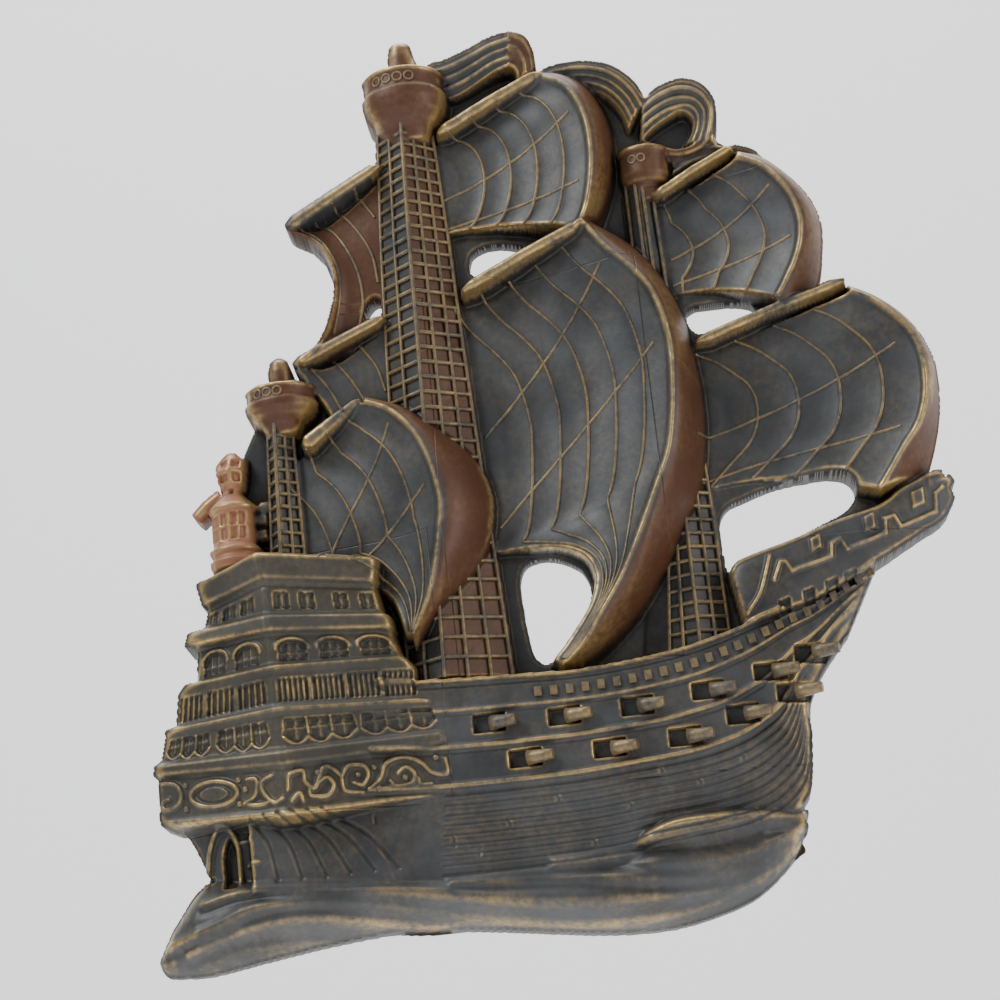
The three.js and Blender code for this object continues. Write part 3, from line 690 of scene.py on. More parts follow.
@dataclass
class Hull:
    """The side of the ship from under the stern castle to the stem."""

    rail: Points = (
        (-100, -64), (-28, -67.5), (0, -68.8), (20, -69.6), (40, -68.5), (60, -65.7), (72, -62.8), (84, -59), (98, -55), (110, -51.5),
        (122, -46.5), (134, -39.5),
    )
    keel: Points = (
        (-100, -138), (-40, -142), (20, -142), (50, -139), (75, -136), (88, -131), (96.5, -124), (99.5, -117), (101.6, -100), (101.3, -93),
        (108, -79), (120, -64.5),
    )
    plan: Points = ((-100, 24), (40, 24), (70, 21.5), (100, 16.5), (120, 13.5), (134, 11.5))
    belly: float = 2.4
    upper_guns: Points = ((-11.5, -86), (15.3, -86.6), (41.3, -86), (67.2, -83), (90, -78.2), (105, -72.8))
    lower_guns: Points = ((0.3, -100.2), (30.2, -100.2), (57.2, -99), (78.2, -92.8), (97.2, -86.3))
    dentil_count: int = 24

    def point(self, t: Array, w: Array) -> tuple[Array, Array, Array]:
        """A point of the side.

        Args:
            t: Share along the ship.
            w: Share from the rail down.

        Returns:
            Its x, z and depth.
        """
        run = np.linspace(0.0, 1.0, 400)
        rail, keel = self._edges()
        x = np.interp(t, run, rail[:, 0]) * (1 - w) + np.interp(t, run, keel[:, 0]) * w
        z = np.interp(t, run, rail[:, 1]) * (1 - w) + np.interp(t, run, keel[:, 1]) * w
        return x, z, graph(self.plan, x) + self.belly * np.sin(math.pi * np.clip(w, 0, 1))

    def _edges(self) -> tuple[Array, Array]:
        """The rail and the keel as 400 points each, matched knot for knot."""
        knots = np.linspace(0.0, 1.0, len(self.rail))
        run = np.linspace(0.0, 1.0, 400)
        edges = []
        for line in (self.rail, self.keel):
            table = np.asarray(line, float)
            slope = np.gradient(table, knots, axis=0)
            span = np.clip(np.searchsorted(knots, run, side="right") - 1, 0, len(knots) - 2)
            length = knots[1]
            s = ((run - knots[span]) / length)[:, None]
            edges.append(
                (2 * s**3 - 3 * s**2 + 1) * table[span]
                + (s**3 - 2 * s**2 + s) * length * slope[span]
                + (3 * s**2 - 2 * s**3) * table[span + 1]
                + (s**3 - s**2) * length * slope[span + 1]
            )
        return edges[0], edges[1]

    def lay(self, canvas: Canvas) -> None:
        """Lay the planked side with its wales."""
        t = np.linspace(0.0, 1.0, 1900)[:, None]
        w = np.linspace(0.0, 1.0, 620)[None, :]
        x, z, depth = self.point(t, w)
        stem = 1 - np.clip((1 - t) * 14, 0, 1)
        canvas.lay(x, z, depth - 5 * stem**2)

    def line(self, w: Callable[[Array], Array] | float, t0: float, t1: float, count: int = 90) -> Array:
        """The x, z path along the side at a share below the rail."""
        t = np.linspace(t0, t1, count)
        share = w(t) if callable(w) else np.full(count, w)
        x, z, _ = self.point(t, share)
        return np.column_stack([x, z])

    def details(self, canvas: Canvas) -> None:
        """Raise the rail and wales and cut the plank seams and ports."""
        canvas.stroke(self.line(0.005, 0.06, 0.72), 1.7, 2.0)
        canvas.stroke(self.line(0.045, 0.06, 0.72), 0.6, 0.8, cut=True)
        canvas.stroke(self.line(0.165, 0.06, 0.985), 0.75, 1.1)
        canvas.stroke(self.line(0.19, 0.06, 0.985), 0.5, 0.5, cut=True)
        for share, half in ((0.345, 1.15), (0.53, 1.25)):
            canvas.stroke(self.line(share, 0.06, 0.99), half, 1.5)
            canvas.stroke(self.line(share + 0.03, 0.06, 0.99), 0.5, 0.5, cut=True)
        for k in range(9):
            canvas.stroke(self.line(0.572 + 0.0465 * k, 0.1, 0.995), 0.62, 0.85, cut=True)
        for x, z in (*self.upper_guns, *self.lower_guns):
            canvas.patch(self._port(x, z), 3.2, cut=True)
        for x, z in (
            (-55, -116), (-28, -127), (-19.5, -131), (10, -115.5), (47, -109.5), (60, -115.5), (21, -133),
            (-8, -122), (35, -122), (76, -108)
        ):
            canvas.stroke(np.array([(x, z + 1.4), (x + 0.2, z - 1.4)]), 0.55, 0.8, cut=True)

    @staticmethod
    def _port(x: float, z: float) -> Array:
        """The outline of a gun port."""
        wide, tall = 5.6, 3.1
        return np.array(
            [(x - wide, z - tall), (x + wide, z - tall), (x + wide, z + tall), (x - wide, z + tall)]
        )

    def guns(self, canvas: Canvas) -> StudRow:
        """The guns that point forward out of their ports."""
        row = StudRow("guns", Stud.GUN, {"Width": 2.7, "Length": 9.5, "Tip": 1.9})
        for x, z in (*self.upper_guns, *self.lower_guns):
            depth = float(canvas.sample(canvas.depth, np.array([x - 8.0]), np.array([z]))[0])
            row.add((x + 0.8, z - 0.2, depth + 0.2), (0.0, math.radians(90), math.radians(-17)))
        return row

    def dentils(self, canvas: Canvas) -> StudRow:
        """The row of square blocks under the rail."""
        row = StudRow("dentils", Stud.DENTIL, {"Width": 2.6, "Length": 3.4, "Tip": 2.2})
        path = self.line(0.105, 0.2, 0.985, 400)
        for place, ahead in zip(
            evenly(path, self.dentil_count), np.gradient(evenly(path, self.dentil_count), axis=0)
        ):
            depth = float(canvas.sample(canvas.depth, place[:1], place[1:])[0])
            tilt = -math.atan2(ahead[1], ahead[0])
            row.add((place[0], place[1], depth - 0.1), (0.0, tilt * 0.6, 0.0))
        return row


@dataclass
class Forecastle:
    """The castle over the bow with its fretted rail, and the beak."""

    top: Points = (
        (80, -38.5, 17), (83, -35, 18), (88, -33.2, 18.4), (95, -31.3, 18.3), (105, -28.7, 18), (120, -23.8, 17), (137, -19.4, 16), (145, -14.3, 15.5),
        (151, -11.6, 15), (157, -9, 14), (161, -8.4, 13),
    )
    foot: Points = (
        (83, -60, 18), (88, -58.5, 20), (98, -56, 20), (110, -52.5, 19), (122, -47, 17.5), (131, -42, 16), (138, -38.5, 14), (145, -34.6, 12.5),
        (153, -30.5, 11.5), (160, -26.5, 10.5), (165.2, -19, 9),
    )
    fret: Points = (
        (95.5, -45), (98.5, -38.4), (100.5, -38.6), (102.5, -42.3), (117.2, -38.4), (117.8, -33.4), (121.3, -32), (123.3, -36.2), (138, -31.3), (138.4, -26),
        (141.8, -25), (143.8, -29.2), (157.5, -24.4), (158, -18), (161, -15.5),
    )
    blocks: Points = ((112.3, -32.6, 1.9, 2.6), (132.6, -26.8, 2.1, 2.9), (151.5, -19.2, 2.4, 3.0))
    windows: Points = ((98.3, -54.6), (107.4, -51.8), (116, -49), (123.3, -46.4))

    def lay(self, canvas: Canvas) -> None:
        """Lay the side of the castle and its grey after face."""
        rows = []
        for a, b in zip(np.asarray(self.top), np.asarray(self.foot)):
            middle = a + (b - a) * 0.5 + [0, 0, 1.2]
            rows.append([a - [0, 0, 3], a + (b - a) * 0.08, middle, b])
        lay_loft(canvas, rows)
        lay_rod(
            canvas, np.array([(156, -13.2, 11.5), (162, -12.8, 10.5), (164, -15, 9)]),
            lambda s: 4.0 - 1.2 * s
        )

    def details(self, canvas: Canvas) -> None:
        """Raise the fret, its blocks and the after edge, and cut the windows."""
        canvas.stroke(np.asarray(self.fret), 0.95, 1.5)
        edge = spline([(84.5, -56), (89.5, -50), (92.8, -42), (95, -35.5)], 40)
        canvas.stroke(edge, 1.0, 1.6)
        canvas.stroke(spline([(x, z) for x, z, _ in self.top], 90) - [0, 1.2], 1.2, 1.0)
        for x, z, wide, tall in self.blocks:
            canvas.patch(box_outline(x, z, wide, tall, 0.35), 1.5)
        for x, z in self.windows:
            canvas.patch(box_outline(x, z, 2.1, 2.3, 0.3), 1.9, cut=True)
        canvas.stroke(np.asarray([(96, -58.5), (110, -54.5), (122, -49.3), (131, -44)]), 0.8, 0.9)


def box_outline(x: float, z: float, half_wide: float, half_tall: float, rise: float = 0.0) -> Array:
    """A four-sided outline about a middle.

    Args:
        x: Middle across.
        z: Middle upwards.
        half_wide: Half its width.
        half_tall: Half its height.
        rise: How much it climbs for each millimetre to the right.

    Returns:
        Its four corners.
    """
    corners = [
        (-half_wide, -half_tall), (half_wide, -half_tall), (half_wide, half_tall), (-half_wide, half_tall)
    ]
    return np.array([(x + a, z + b + a * rise) for a, b in corners])


# ---- Stern castle -------------------------------------------------------------------------


@dataclass(frozen=True)
class Level:
    """One level of the stern castle.

    Attributes:
        z: Heights of its left end, its corner and its right end.
        x: Places across of the same three.
        proud: How far it stands out from the slope of the castle.
    """

    z: tuple[float, float, float]
    x: tuple[float, float, float]
    proud: float


@dataclass
class SternCastle:
    """The stepped stern with its two faces, windows, gallery and scrolled band."""

    levels: tuple[Level, ...] = (
        Level((-19, -14.8, -18), (-108, -88.8, -50), -3.0),
        Level((-21.2, -17, -20.3), (-113.4, -88.3, -45.9), 0.8),
        Level((-29.2, -25.4, -28.6), (-111.8, -87.0, -46.9), 0.4),
        Level((-30.6, -27.2, -30.2), (-110, -86.6, -47.5), -2.0),
        Level((-37.4, -38.6, -40.2), (-112, -86.5, -45.5), -2.0),
        Level((-39, -40.4, -42), (-118, -86.4, -43), 0.6),
        Level((-43.5, -45.4, -47), (-119.5, -86.2, -42), 1.0),
        Level((-44.8, -47, -48.2), (-115, -86, -42.5), -1.8),
        Level((-56.3, -57.4, -56.7), (-116.5, -85.8, -40.5), -1.8),
        Level((-57.6, -59.2, -58.5), (-120.5, -85.6, -38.5), 0.6),
        Level((-60.4, -61.8, -61.6), (-123.5, -85.4, -36.2), -0.8),
        Level((-72, -72.8, -73.4), (-125, -85.2, -35.4), -0.8),
        Level((-73.5, -74.8, -75), (-129, -85, -31), 1.0),
        Level((-76, -77, -77), (-129.5, -84.8, -29.5), -1.0),
        Level((-84, -88.4, -85.5), (-131.5, -84.2, -28), -1.0),
        Level((-86, -90.5, -88), (-134, -84, -26.5), 1.5),
        Level((-89, -94.5, -91), (-134.4, -83.9, -26.2), 1.4),
        Level((-90, -96, -92.5), (-133, -83.9, -27), -0.6),
        Level((-105, -110, -107.5), (-133.5, -83.9, -26.4), -0.6),
        Level((-107, -112.5, -109.5), (-133, -84, -27.5), 0.8),
        Level((-109.5, -115, -111.5), (-128, -85, -30), -6.0),
    )
    corner_depth: float = 36.8
    left_depth: Points = ((0, 22), (0.5, 18), (1, 14))
    right_depth: float = 25.5

    def point(self, side: int, u: Array, level: Array) -> tuple[Array, Array, Array]:
        """A point of one face.

        Args:
            side: 0 for the left face and 1 for the right.
            u: Share from the corner to that end.
            level: Which level, with fractions between them.

        Returns:
            Its x, z and depth.
        """
        run = np.arange(len(self.levels))
        end = 0 if side == 0 else 2

        def at(key: str, i: int) -> Array:
            return np.interp(level, run, [getattr(one, key)[i] for one in self.levels])

        x = at("x", 1) + (at("x", end) - at("x", 1)) * u
        z = at("z", 1) + (at("z", end) - at("z", 1)) * u
        far = graph(self.left_depth, level / run[-1]) if side == 0 else self.right_depth
        proud = np.interp(level, run, [one.proud for one in self.levels])
        round_off = -1.2 * smoothstep(0.95, 1.0, u) - 0.5 * smoothstep(0.03, 0.0, u)
        return x, z, self.corner_depth + (far - self.corner_depth) * u + proud + round_off

    def path(self, side: int, trace: Points, count: int = 60) -> Array:
        """The x, z path of a trace given in shares of a face and levels."""
        line = spline(trace, count) if len(trace) > 2 else np.asarray(trace, float)
        x, z, _ = self.point(side, line[:, 0], line[:, 1])
        return np.column_stack([x, z])

    def quad(self, side: int, u0: float, u1: float, top: float, foot: float) -> Array:
        """The outline of a patch of a face between two shares and two levels."""
        corners = [(u0, top), (u1, top), (u1, foot), (u0, foot)]
        return self.path(side, corners[:2], 2).tolist() and np.vstack(
            [self.path(side, [corners[k], corners[(k + 1) % 4]])[:1] for k in range(4)]
        )

    def lay(self, canvas: Canvas) -> None:
        """Lay both faces."""
        level = np.linspace(0, len(self.levels) - 1, 1500)[None, :]
        for side, count in ((0, 480), (1, 560)):
            u = np.linspace(0.0, 1.0, count)[:, None]
            x, z, depth = self.point(side, u, level)
            canvas.lay(x, z, depth, Tint.OLIVE, 0.5)

    def counter(self, canvas: Canvas) -> None:
        """Lay the counter under the stern."""
        lay_loft(
            canvas,
            [
                [(-129, -106, 9), (-124, -112, 9.5), (-121, -118, 9.5), (-117.5, -127, 10)],
                [(-116, -108, 16), (-114, -114, 15), (-112, -122, 15), (-110, -131, 15)],
                [(-102, -110, 20), (-101, -116, 20), (-100, -124, 19), (-98, -134, 19)],
                [(-84, -112, 26), (-83, -118, 25), (-80, -126, 25), (-76, -137, 24)],
                [(-60, -112, 26), (-58, -118, 26), (-54, -126, 26), (-50, -138, 25)],
            ],
        )

    def details(self, canvas: Canvas) -> None:
        """Work every tier of both faces and what is under them."""
        self._first_tier(canvas)
        self._arches(canvas)
        self._gallery(canvas)
        self._lobed_windows(canvas)
        self._scrolls(canvas)
        self._rudder(canvas)

    def _first_tier(self, canvas: Canvas) -> None:
        """Cut the small square windows of the top tier."""
        shares = {
            0: ((0.2, 0.4), (0.5, 0.7), (0.8, 0.97)),
            1: ((0.08, 0.2), (0.3, 0.42), (0.6, 0.71), (0.83, 0.94))
        }
        for side, windows in shares.items():
            for u0, u1 in windows:
                canvas.patch(self.quad(side, u0, u1, 3.32, 3.86), 1.5, cut=True)
                middle = (u0 + u1) / 2
                canvas.stroke(self.path(side, [(middle, 3.34), (middle, 3.84)]), 0.4, 1.0)
            canvas.stroke(self.path(side, [(0.0, 3.12), (1.0, 3.12)]), 0.6, 0.5, cut=True)

    def _arches(self, canvas: Canvas) -> None:
        """Cut the arched windows of the second tier and raise their hoods."""
        shares = {0: ((0.14, 0.5), (0.58, 0.92)), 1: ((0.04, 0.3), (0.36, 0.62), (0.68, 0.95))}
        for side, windows in shares.items():
            for u0, u1 in windows:
                middle, half = (u0 + u1) / 2, (u1 - u0) / 2 * 0.8
                arch = [
                    (
                        middle + half * math.cos(a), 7.48 - 0.26 * math.sin(a)
                    ) for a in np.linspace(math.pi, 0, 12)
                ]
                outline = self.path(side, [*arch], 40)
                foot = self.path(side, [(middle + half, 7.94), (middle - half, 7.94)])
                canvas.patch(np.vstack([outline, foot]), 1.4, cut=True)
                hood = [
                    (
                        middle + half * 1.25 * math.cos(a), 7.5 - 0.36 * math.sin(a)
                    ) for a in np.linspace(math.pi, 0, 12)
                ]
                canvas.stroke(self.path(side, hood, 40), 0.75, 1.1)
                for share in (-0.33, 0.33):
                    bar = [(middle + half * share, 7.32), (middle + half * share, 7.92)]
                    canvas.stroke(self.path(side, bar), 0.35, 0.9)
                cross = [(middle - half, 7.68), (middle + half, 7.68)]
                canvas.stroke(self.path(side, cross), 0.35, 0.9)

    def _gallery(self, canvas: Canvas) -> None:
        """Cut the open gallery of the third tier and raise its balusters."""
        shares = {
            0: ((0.1, 0.36), (0.42, 0.68), (0.74, 0.97)),
            1: ((0.02, 0.23), (0.27, 0.48), (0.52, 0.73), (0.77, 0.98))
        }
        for side, panels in shares.items():
            for u0, u1 in panels:
                canvas.patch(self.quad(side, u0, u1, 10.14, 10.9), 1.7, cut=True)
                for share in np.linspace(0.14, 0.86, 4 if side == 0 else 5):
                    u = u0 + (u1 - u0) * share
                    canvas.stroke(self.path(side, [(u, 10.18), (u, 10.88)]), 0.55, 1.5)

    def _lobed_windows(self, canvas: Canvas) -> None:
        """Cut the wide windows of the fourth tier with their scalloped feet."""
        shares = {0: ((0.1, 0.53), (0.6, 0.96)), 1: ((0.02, 0.47), (0.51, 0.97))}
        for side, windows in shares.items():
            for u0, u1 in windows:
                lobes = [
                    (
                        u0 + (u1 - u0) * s,
                        13.62 + 0.25 * abs(math.sin(3 * math.pi * s)) + 0.06 * math.sin(math.pi * s)
                    )
                    for s in np.linspace(0.0, 1.0, 31)
                ]
                top = [(u1 - (u1 - u0) * 0.03, 13.12), (u0 + (u1 - u0) * 0.03, 13.12)]
                outline = np.vstack([self.path(side, lobes, 60), self.path(side, top)])
                canvas.patch(outline, 1.6, cut=True)
                canvas.stroke(self.path(side, [(u, level + 0.07) for u, level in lobes], 60), 0.65, 0.9)
                for share in (0.333, 0.667):
                    bar = [(u0 + (u1 - u0) * share, 13.14), (u0 + (u1 - u0) * share, 13.62)]
                    canvas.stroke(self.path(side, bar), 0.6, 1.5)
                for share in (0.167, 0.5, 0.833):
                    bar = [(u0 + (u1 - u0) * share, 13.14), (u0 + (u1 - u0) * share, 13.8)]
                    canvas.stroke(self.path(side, bar), 0.35, 1.0)
                cross = [(u0 + (u1 - u0) * 0.04, 13.42), (u1 - (u1 - u0) * 0.04, 13.42)]
                canvas.stroke(self.path(side, cross), 0.35, 1.0)

    def _scrolls(self, canvas: Canvas) -> None:
        """Raise the medallion and the scrolls of the lowest band."""
        oval = [
            (0.56 + 0.185 * math.cos(a), 17.5 + 0.31 * math.sin(a)) for a in np.linspace(0, 2 * math.pi, 25)
        ]
        inner = [
            (0.56 + 0.115 * math.cos(a), 17.5 + 0.19 * math.sin(a)) for a in np.linspace(0, 2 * math.pi, 25)
        ]
        canvas.stroke(self.path(0, oval, 90), 1.1, 1.7)
        canvas.patch(self.path(0, inner, 60), 1.0)
        left = (
            [
                (0.99, 17.12), (0.88, 17.16), (0.82, 17.42), (0.86, 17.7), (0.95, 17.78), (0.97, 17.6),
                (0.92, 17.52)
            ],
            [(0.3, 17.2), (0.24, 17.2), (0.22, 17.45), (0.26, 17.7), (0.33, 17.8)],
            [(0.1, 17.15), (0.18, 17.3), (0.17, 17.6), (0.09, 17.85), (0.03, 17.75)],
            [(0.3, 17.85), (0.2, 17.88), (0.12, 17.8)],
        )
        right = (
            [
                (0.01, 17.55), (0.04, 17.15), (0.1, 17.12), (0.12, 17.42), (0.17, 17.62), (0.25, 17.1),
                (0.33, 17.35), (0.37, 17.8), (0.46, 17.86)
            ],
            [(0.2, 17.5), (0.25, 17.38), (0.29, 17.6), (0.24, 17.84), (0.16, 17.8), (0.14, 17.6)],
            [(0.34, 17.45), (0.4, 17.16), (0.47, 17.2), (0.5, 17.5), (0.46, 17.68), (0.41, 17.6)],
            [
                (0.5, 17.8), (0.57, 17.6), (0.63, 17.2), (0.72, 17.12), (0.82, 17.3), (0.9, 17.62),
                (0.97, 17.7), (0.98, 17.3)
            ],
            [(0.68, 17.5), (0.73, 17.38), (0.78, 17.55), (0.75, 17.8), (0.67, 17.82), (0.63, 17.66)],
            [(0.88, 17.85), (0.82, 17.85), (0.8, 17.66)],
            [(0.03, 17.85), (0.08, 17.7), (0.1, 17.88)],
        )
        for side, traces in ((0, left), (1, right)):
            for trace in traces:
                path = self.path(side, trace, 70)
                taper = 0.55 + 0.6 * np.sin(np.linspace(0.15, math.pi - 0.15, 70))
                canvas.stroke(path, taper, 1.6)

    def beads(self, canvas: Canvas) -> StudRow:
        """The round beads between the scrolls."""
        row = StudRow("scroll_beads", Stud.BEAD, {"Width": 1.15})
        places = {
            0: ((0.36, 17.2), (0.31, 17.45), (0.36, 17.8), (0.78, 17.22), (0.78, 17.8)),
            1: ((0.44, 17.42), (0.54, 17.28), (0.56, 17.84), (0.2, 17.24), (0.92, 17.25), (0.72, 17.62))
        }
        for side, spots in places.items():
            for u, level in spots:
                x, z, _ = self.point(side, np.array([u]), np.array([level]))
                depth = canvas.sample(canvas.depth, x, z)
                row.add((float(x[0]), float(z[0]), float(depth[0])))
        return row

    def _rudder(self, canvas: Canvas) -> None:
        """Raise the rudder post and hood, cut the arched trunk and run the swept planks."""
        canvas.stroke(
            spline(
                [
                    (-118.5, -130), (-116, -118), (-112.5, -112), (-108, -112.5), (-105.5, -117),
                    (-105, -131)
                ],
                60
            ),
            1.3, 2.6
        )
        arch = spline([(-111, -133), (-110.6, -120), (-108.4, -115.4), (-106.6, -118), (-106, -133)], 40)
        canvas.patch(arch, 4.0, cut=True)
        for x, z in ((-102, -117.5), (-99.5, -126)):
            canvas.stroke(np.array([(x - 2.2, z), (x + 2.0, z + 0.2)]), 0.9, 1.6)
        for k in range(6):
            top, foot = -98.5 + 5.2 * k, -91 + 8.6 * k
            path = spline([(top, -111), ((top + foot) / 2 + 1.4, -120), (foot, -133.5)], 40)
            canvas.stroke(path, 0.7, 1.0, cut=True)


# ---- Lantern ------------------------------------------------------------------------------


@dataclass
class Lantern:
    """The great lantern over the stern, with its crowned roof."""

    x: float = -99.0
    base: float = 13.0
    profile: Points = (
        (-16, 9.0), (-12, 9.6), (-10.4, 8.2), (-9, 9.6), (-7.6, 9.4), (-6.6, 8.0), (6.4, 8.0), (7.4, 9.2), (8.6, 9.0), (10.5, 7.0), (13.5, 4.0), (17, 2.4),
    )

    def lay(self, canvas: Canvas) -> None:
        """Lay the round body, its roof, crown, arm and the dark steps beside it."""
        lay_drum(canvas, self.x, self.base, self.profile, Tint.SALMON)
        lay_loft(
            canvas,
            [
                [(-104.5, 26, 12), (-103.8, 21, 16), (-103, 15.5, 13)],
                [(-98.8, 30.5, 13), (-98.8, 23, 19), (-98.8, 14, 16)],
                [(-93, 27.5, 12), (-93.6, 21, 16), (-94.5, 15.5, 13)]
            ],
            Tint.SALMON
        )
        lay_rod(
            canvas, np.array([(-113.6, 7.4, 9.0), (-109, 11.5, 10.5), (-103.5, 14.8, 12.0)]),
            lambda s: 2.4 - 0.3 * s, Tint.SALMON
        )
        for x, z, half in ((-89.5, 3.5, 3.0), (-87, 8, 2.4), (-90.5, -2.5, 3.6)):
            lay_rod(canvas, np.array([(x - half, z, 11.0), (x + half, z, 11.0)]), lambda s: 2.6 + 0 * s)

    def details(self, canvas: Canvas) -> None:
        """Cut the panes and the openings of the crown."""
        for x in (-103.6, -96.6):
            canvas.patch(box_outline(x, 0.2, 2.6, 5.0), 1.5, cut=True)
            canvas.stroke(np.array([(x, -4.6), (x, 5.0)]), 0.55, 1.2)
            canvas.stroke(np.array([(x - 2.4, 0.4), (x + 2.4, 0.4)]), 0.5, 1.2)
        for x, z in ((-101.3, 25.2), (-96.6, 25.2), (-101.3, 19.8), (-96.6, 19.8)):
            canvas.patch(box_outline(x, z, 1.35, 1.5), 1.8, cut=True)
        canvas.patch(box_outline(-98.9, 14.4, 0.8, 0.9), 1.4, cut=True)


def lay_drum(canvas: Canvas, x: float, base: float, profile: Points, tint: Tint) -> None:
    """Lay a turned form half sunk in the relief.

    Args:
        canvas: The canvas.
        x: Where its axis is, across.
        base: Depth of its axis.
        profile: Height and radius, from the foot up.
        tint: Its colour.
    """
    table = np.asarray(profile, float)
    z = np.linspace(table[0, 0], table[-1, 0], int((table[-1, 0] - table[0, 0]) / 0.12) + 20)[:, None]
    radius = np.interp(z, table[:, 0], table[:, 1])
    angle = np.linspace(0.0, math.pi, 420)[None, :]
    canvas.lay(x + radius * np.cos(angle), z + 0 * angle, base + radius * 0.92 * np.sin(angle), tint)


# ---- Masts --------------------------------------------------------------------------------


@dataclass
class Shroud:
    """A fan of ropes and rungs from the side of the ship to a masthead.

    Attributes:
        rows: Left edge, ridge and right edge across, and the height, from the foot up.
        edge: Depth of its edges.
        ridge: Depth of its ridge.
        ropes: Shares where ropes run: 0 left edge, 1 ridge, 2 right edge.
        pitch: Rung spacing at the foot and at the head; none if zero.
        thick: Radius of its ropes; not used.
    """

    rows: Points
    edge: float
    ridge: float
    ropes: tuple[float, ...]
    pitch: tuple[float, float]
    thick: float
    right_tint: Tint = Tint.COPPER
    left_tint: Tint = Tint.SLATE

    def point(self, share: Array, z: Array) -> tuple[Array, Array, Array]:
        """A point of the fan at a share across it and a height."""
        table = np.asarray(self.rows, float)
        left, ridge, right = (np.interp(z, table[:, 3], table[:, k]) for k in range(3))
        x = np.where(share < 1, left + (ridge - left) * share, ridge + (right - ridge) * (share - 1))
        return x, z + 0 * x, self.edge + (self.ridge - self.edge) * (1 - np.abs(1 - share)) + 0 * x

    def lay(self, canvas: Canvas) -> None:
        """Lay the two faces, a little under their ropes."""
        foot, head = self.rows[0][3], self.rows[-1][3]
        z = np.linspace(foot, head, int((head - foot) / 0.14))[:, None]
        for start, tint in ((0.0, self.left_tint), (1.0, self.right_tint)):
            share = np.linspace(start, start + 1.0, 220)[None, :]
            x, up, depth = self.point(share, z)
            canvas.lay(x, up, depth - 0.9, tint, 0.9)

    def lines(self) -> list[Array]:
        """The ropes and the rungs."""
        foot, head = self.rows[0][3], self.rows[-1][3]
        heights = np.linspace(foot, head, 40)
        lines = [np.column_stack(self.point(np.full(40, s), heights)) for s in self.ropes]
        if self.pitch[0] > 0:
            z = foot + self.pitch[0]
            while z < head - 1:
                share = np.array([self.ropes[0], 0.5, 1.0, 1.5, self.ropes[-1]])
                lines.append(np.column_stack(self.point(share, np.full(5, z))) - [0, 0, 0.15])
                z += self.pitch[0] + (self.pitch[1] - self.pitch[0]) * (z - foot) / (head - foot)
        return lines


SHROUDS = (
    Shroud(
        rows=(
            (-40.2, -25.8, -1.2, -67), (-38.7, -24.5, -5, 10), (-37.2, -23.9, -7.2, 60),
            (-35.5, -23.4, -8.8, 105), (-32.4, -22.1, -11.5, 158)
        ),
        edge=12, ridge=23, ropes=(0.03, 0.5, 1.0, 1.34, 1.67, 1.97), pitch=(7.6, 4.4), thick=0.75,
    ),
    Shroud(
        rows=((-86.5, -82, -73.3, -20), (-84, -80.5, -74.5, 42)),
        edge=13, ridge=19, ropes=(0.1, 1.0, 1.5, 1.95), pitch=(5.4, 4.2), thick=0.62, right_tint=Tint.SLATE,
    ),
    Shroud(
        rows=((46, 66.5, 78.3, -64), (58, 67, 77.2, 0), (62, 68, 76, 20)),
        edge=8.5, ridge=14.5, ropes=(0.45, 0.7, 1.0, 1.5, 1.95), pitch=(5.4, 5.0), thick=0.62, right_tint=Tint.SLATE,
    ),
    Shroud(
        rows=((59.5, 65.5, 71.5, 74), (59.7, 65, 70.4, 122)),
        edge=10, ridge=14.5, ropes=(0.1, 0.75, 1.25, 1.9), pitch=(0, 0), thick=0.8, right_tint=Tint.SLATE,
    ),
)


@dataclass
class Nest:
    """A crow's nest with the stub of its topmast.

    Attributes:
        x: Where its axis is, across.
        base: Depth of its axis.
        bowl: Height and radius of the bowl, from the foot up.
        stub: Height and radius of the stub, from the foot up.
        rings: Height of its row of rings, their radius, and the angles they stand at in degrees.
    """

    x: float
    base: float
    bowl: Points
    stub: Points
    rings: tuple[float, float, tuple[float, ...]]

    def lay(self, canvas: Canvas) -> None:
        """Lay the bowl and the stub."""
        lay_drum(canvas, self.x, self.base, self.bowl, Tint.COPPER)
        if self.stub:
            lay_drum(canvas, self.x, self.base, self.stub, Tint.COPPER)

    def ring_lines(self) -> list[Array]:
        """The small rings round the bowl, as closed paths."""
        height, radius, angles = self.rings
        bowl = np.asarray(self.bowl, float)
        reach = float(np.interp(height, bowl[:, 0], bowl[:, 1]))
        turn = np.linspace(0.0, 2 * math.pi, 21)
        lines = []
        for degrees in angles:
            middle = math.radians(degrees)
            angle = middle - radius * np.cos(turn) / reach
            x = self.x + reach * np.cos(angle)
            depth = self.base + reach * 0.92 * np.sin(angle)
            lines.append(np.column_stack([x, height + radius * np.sin(turn), depth + 0.1]))
        return lines


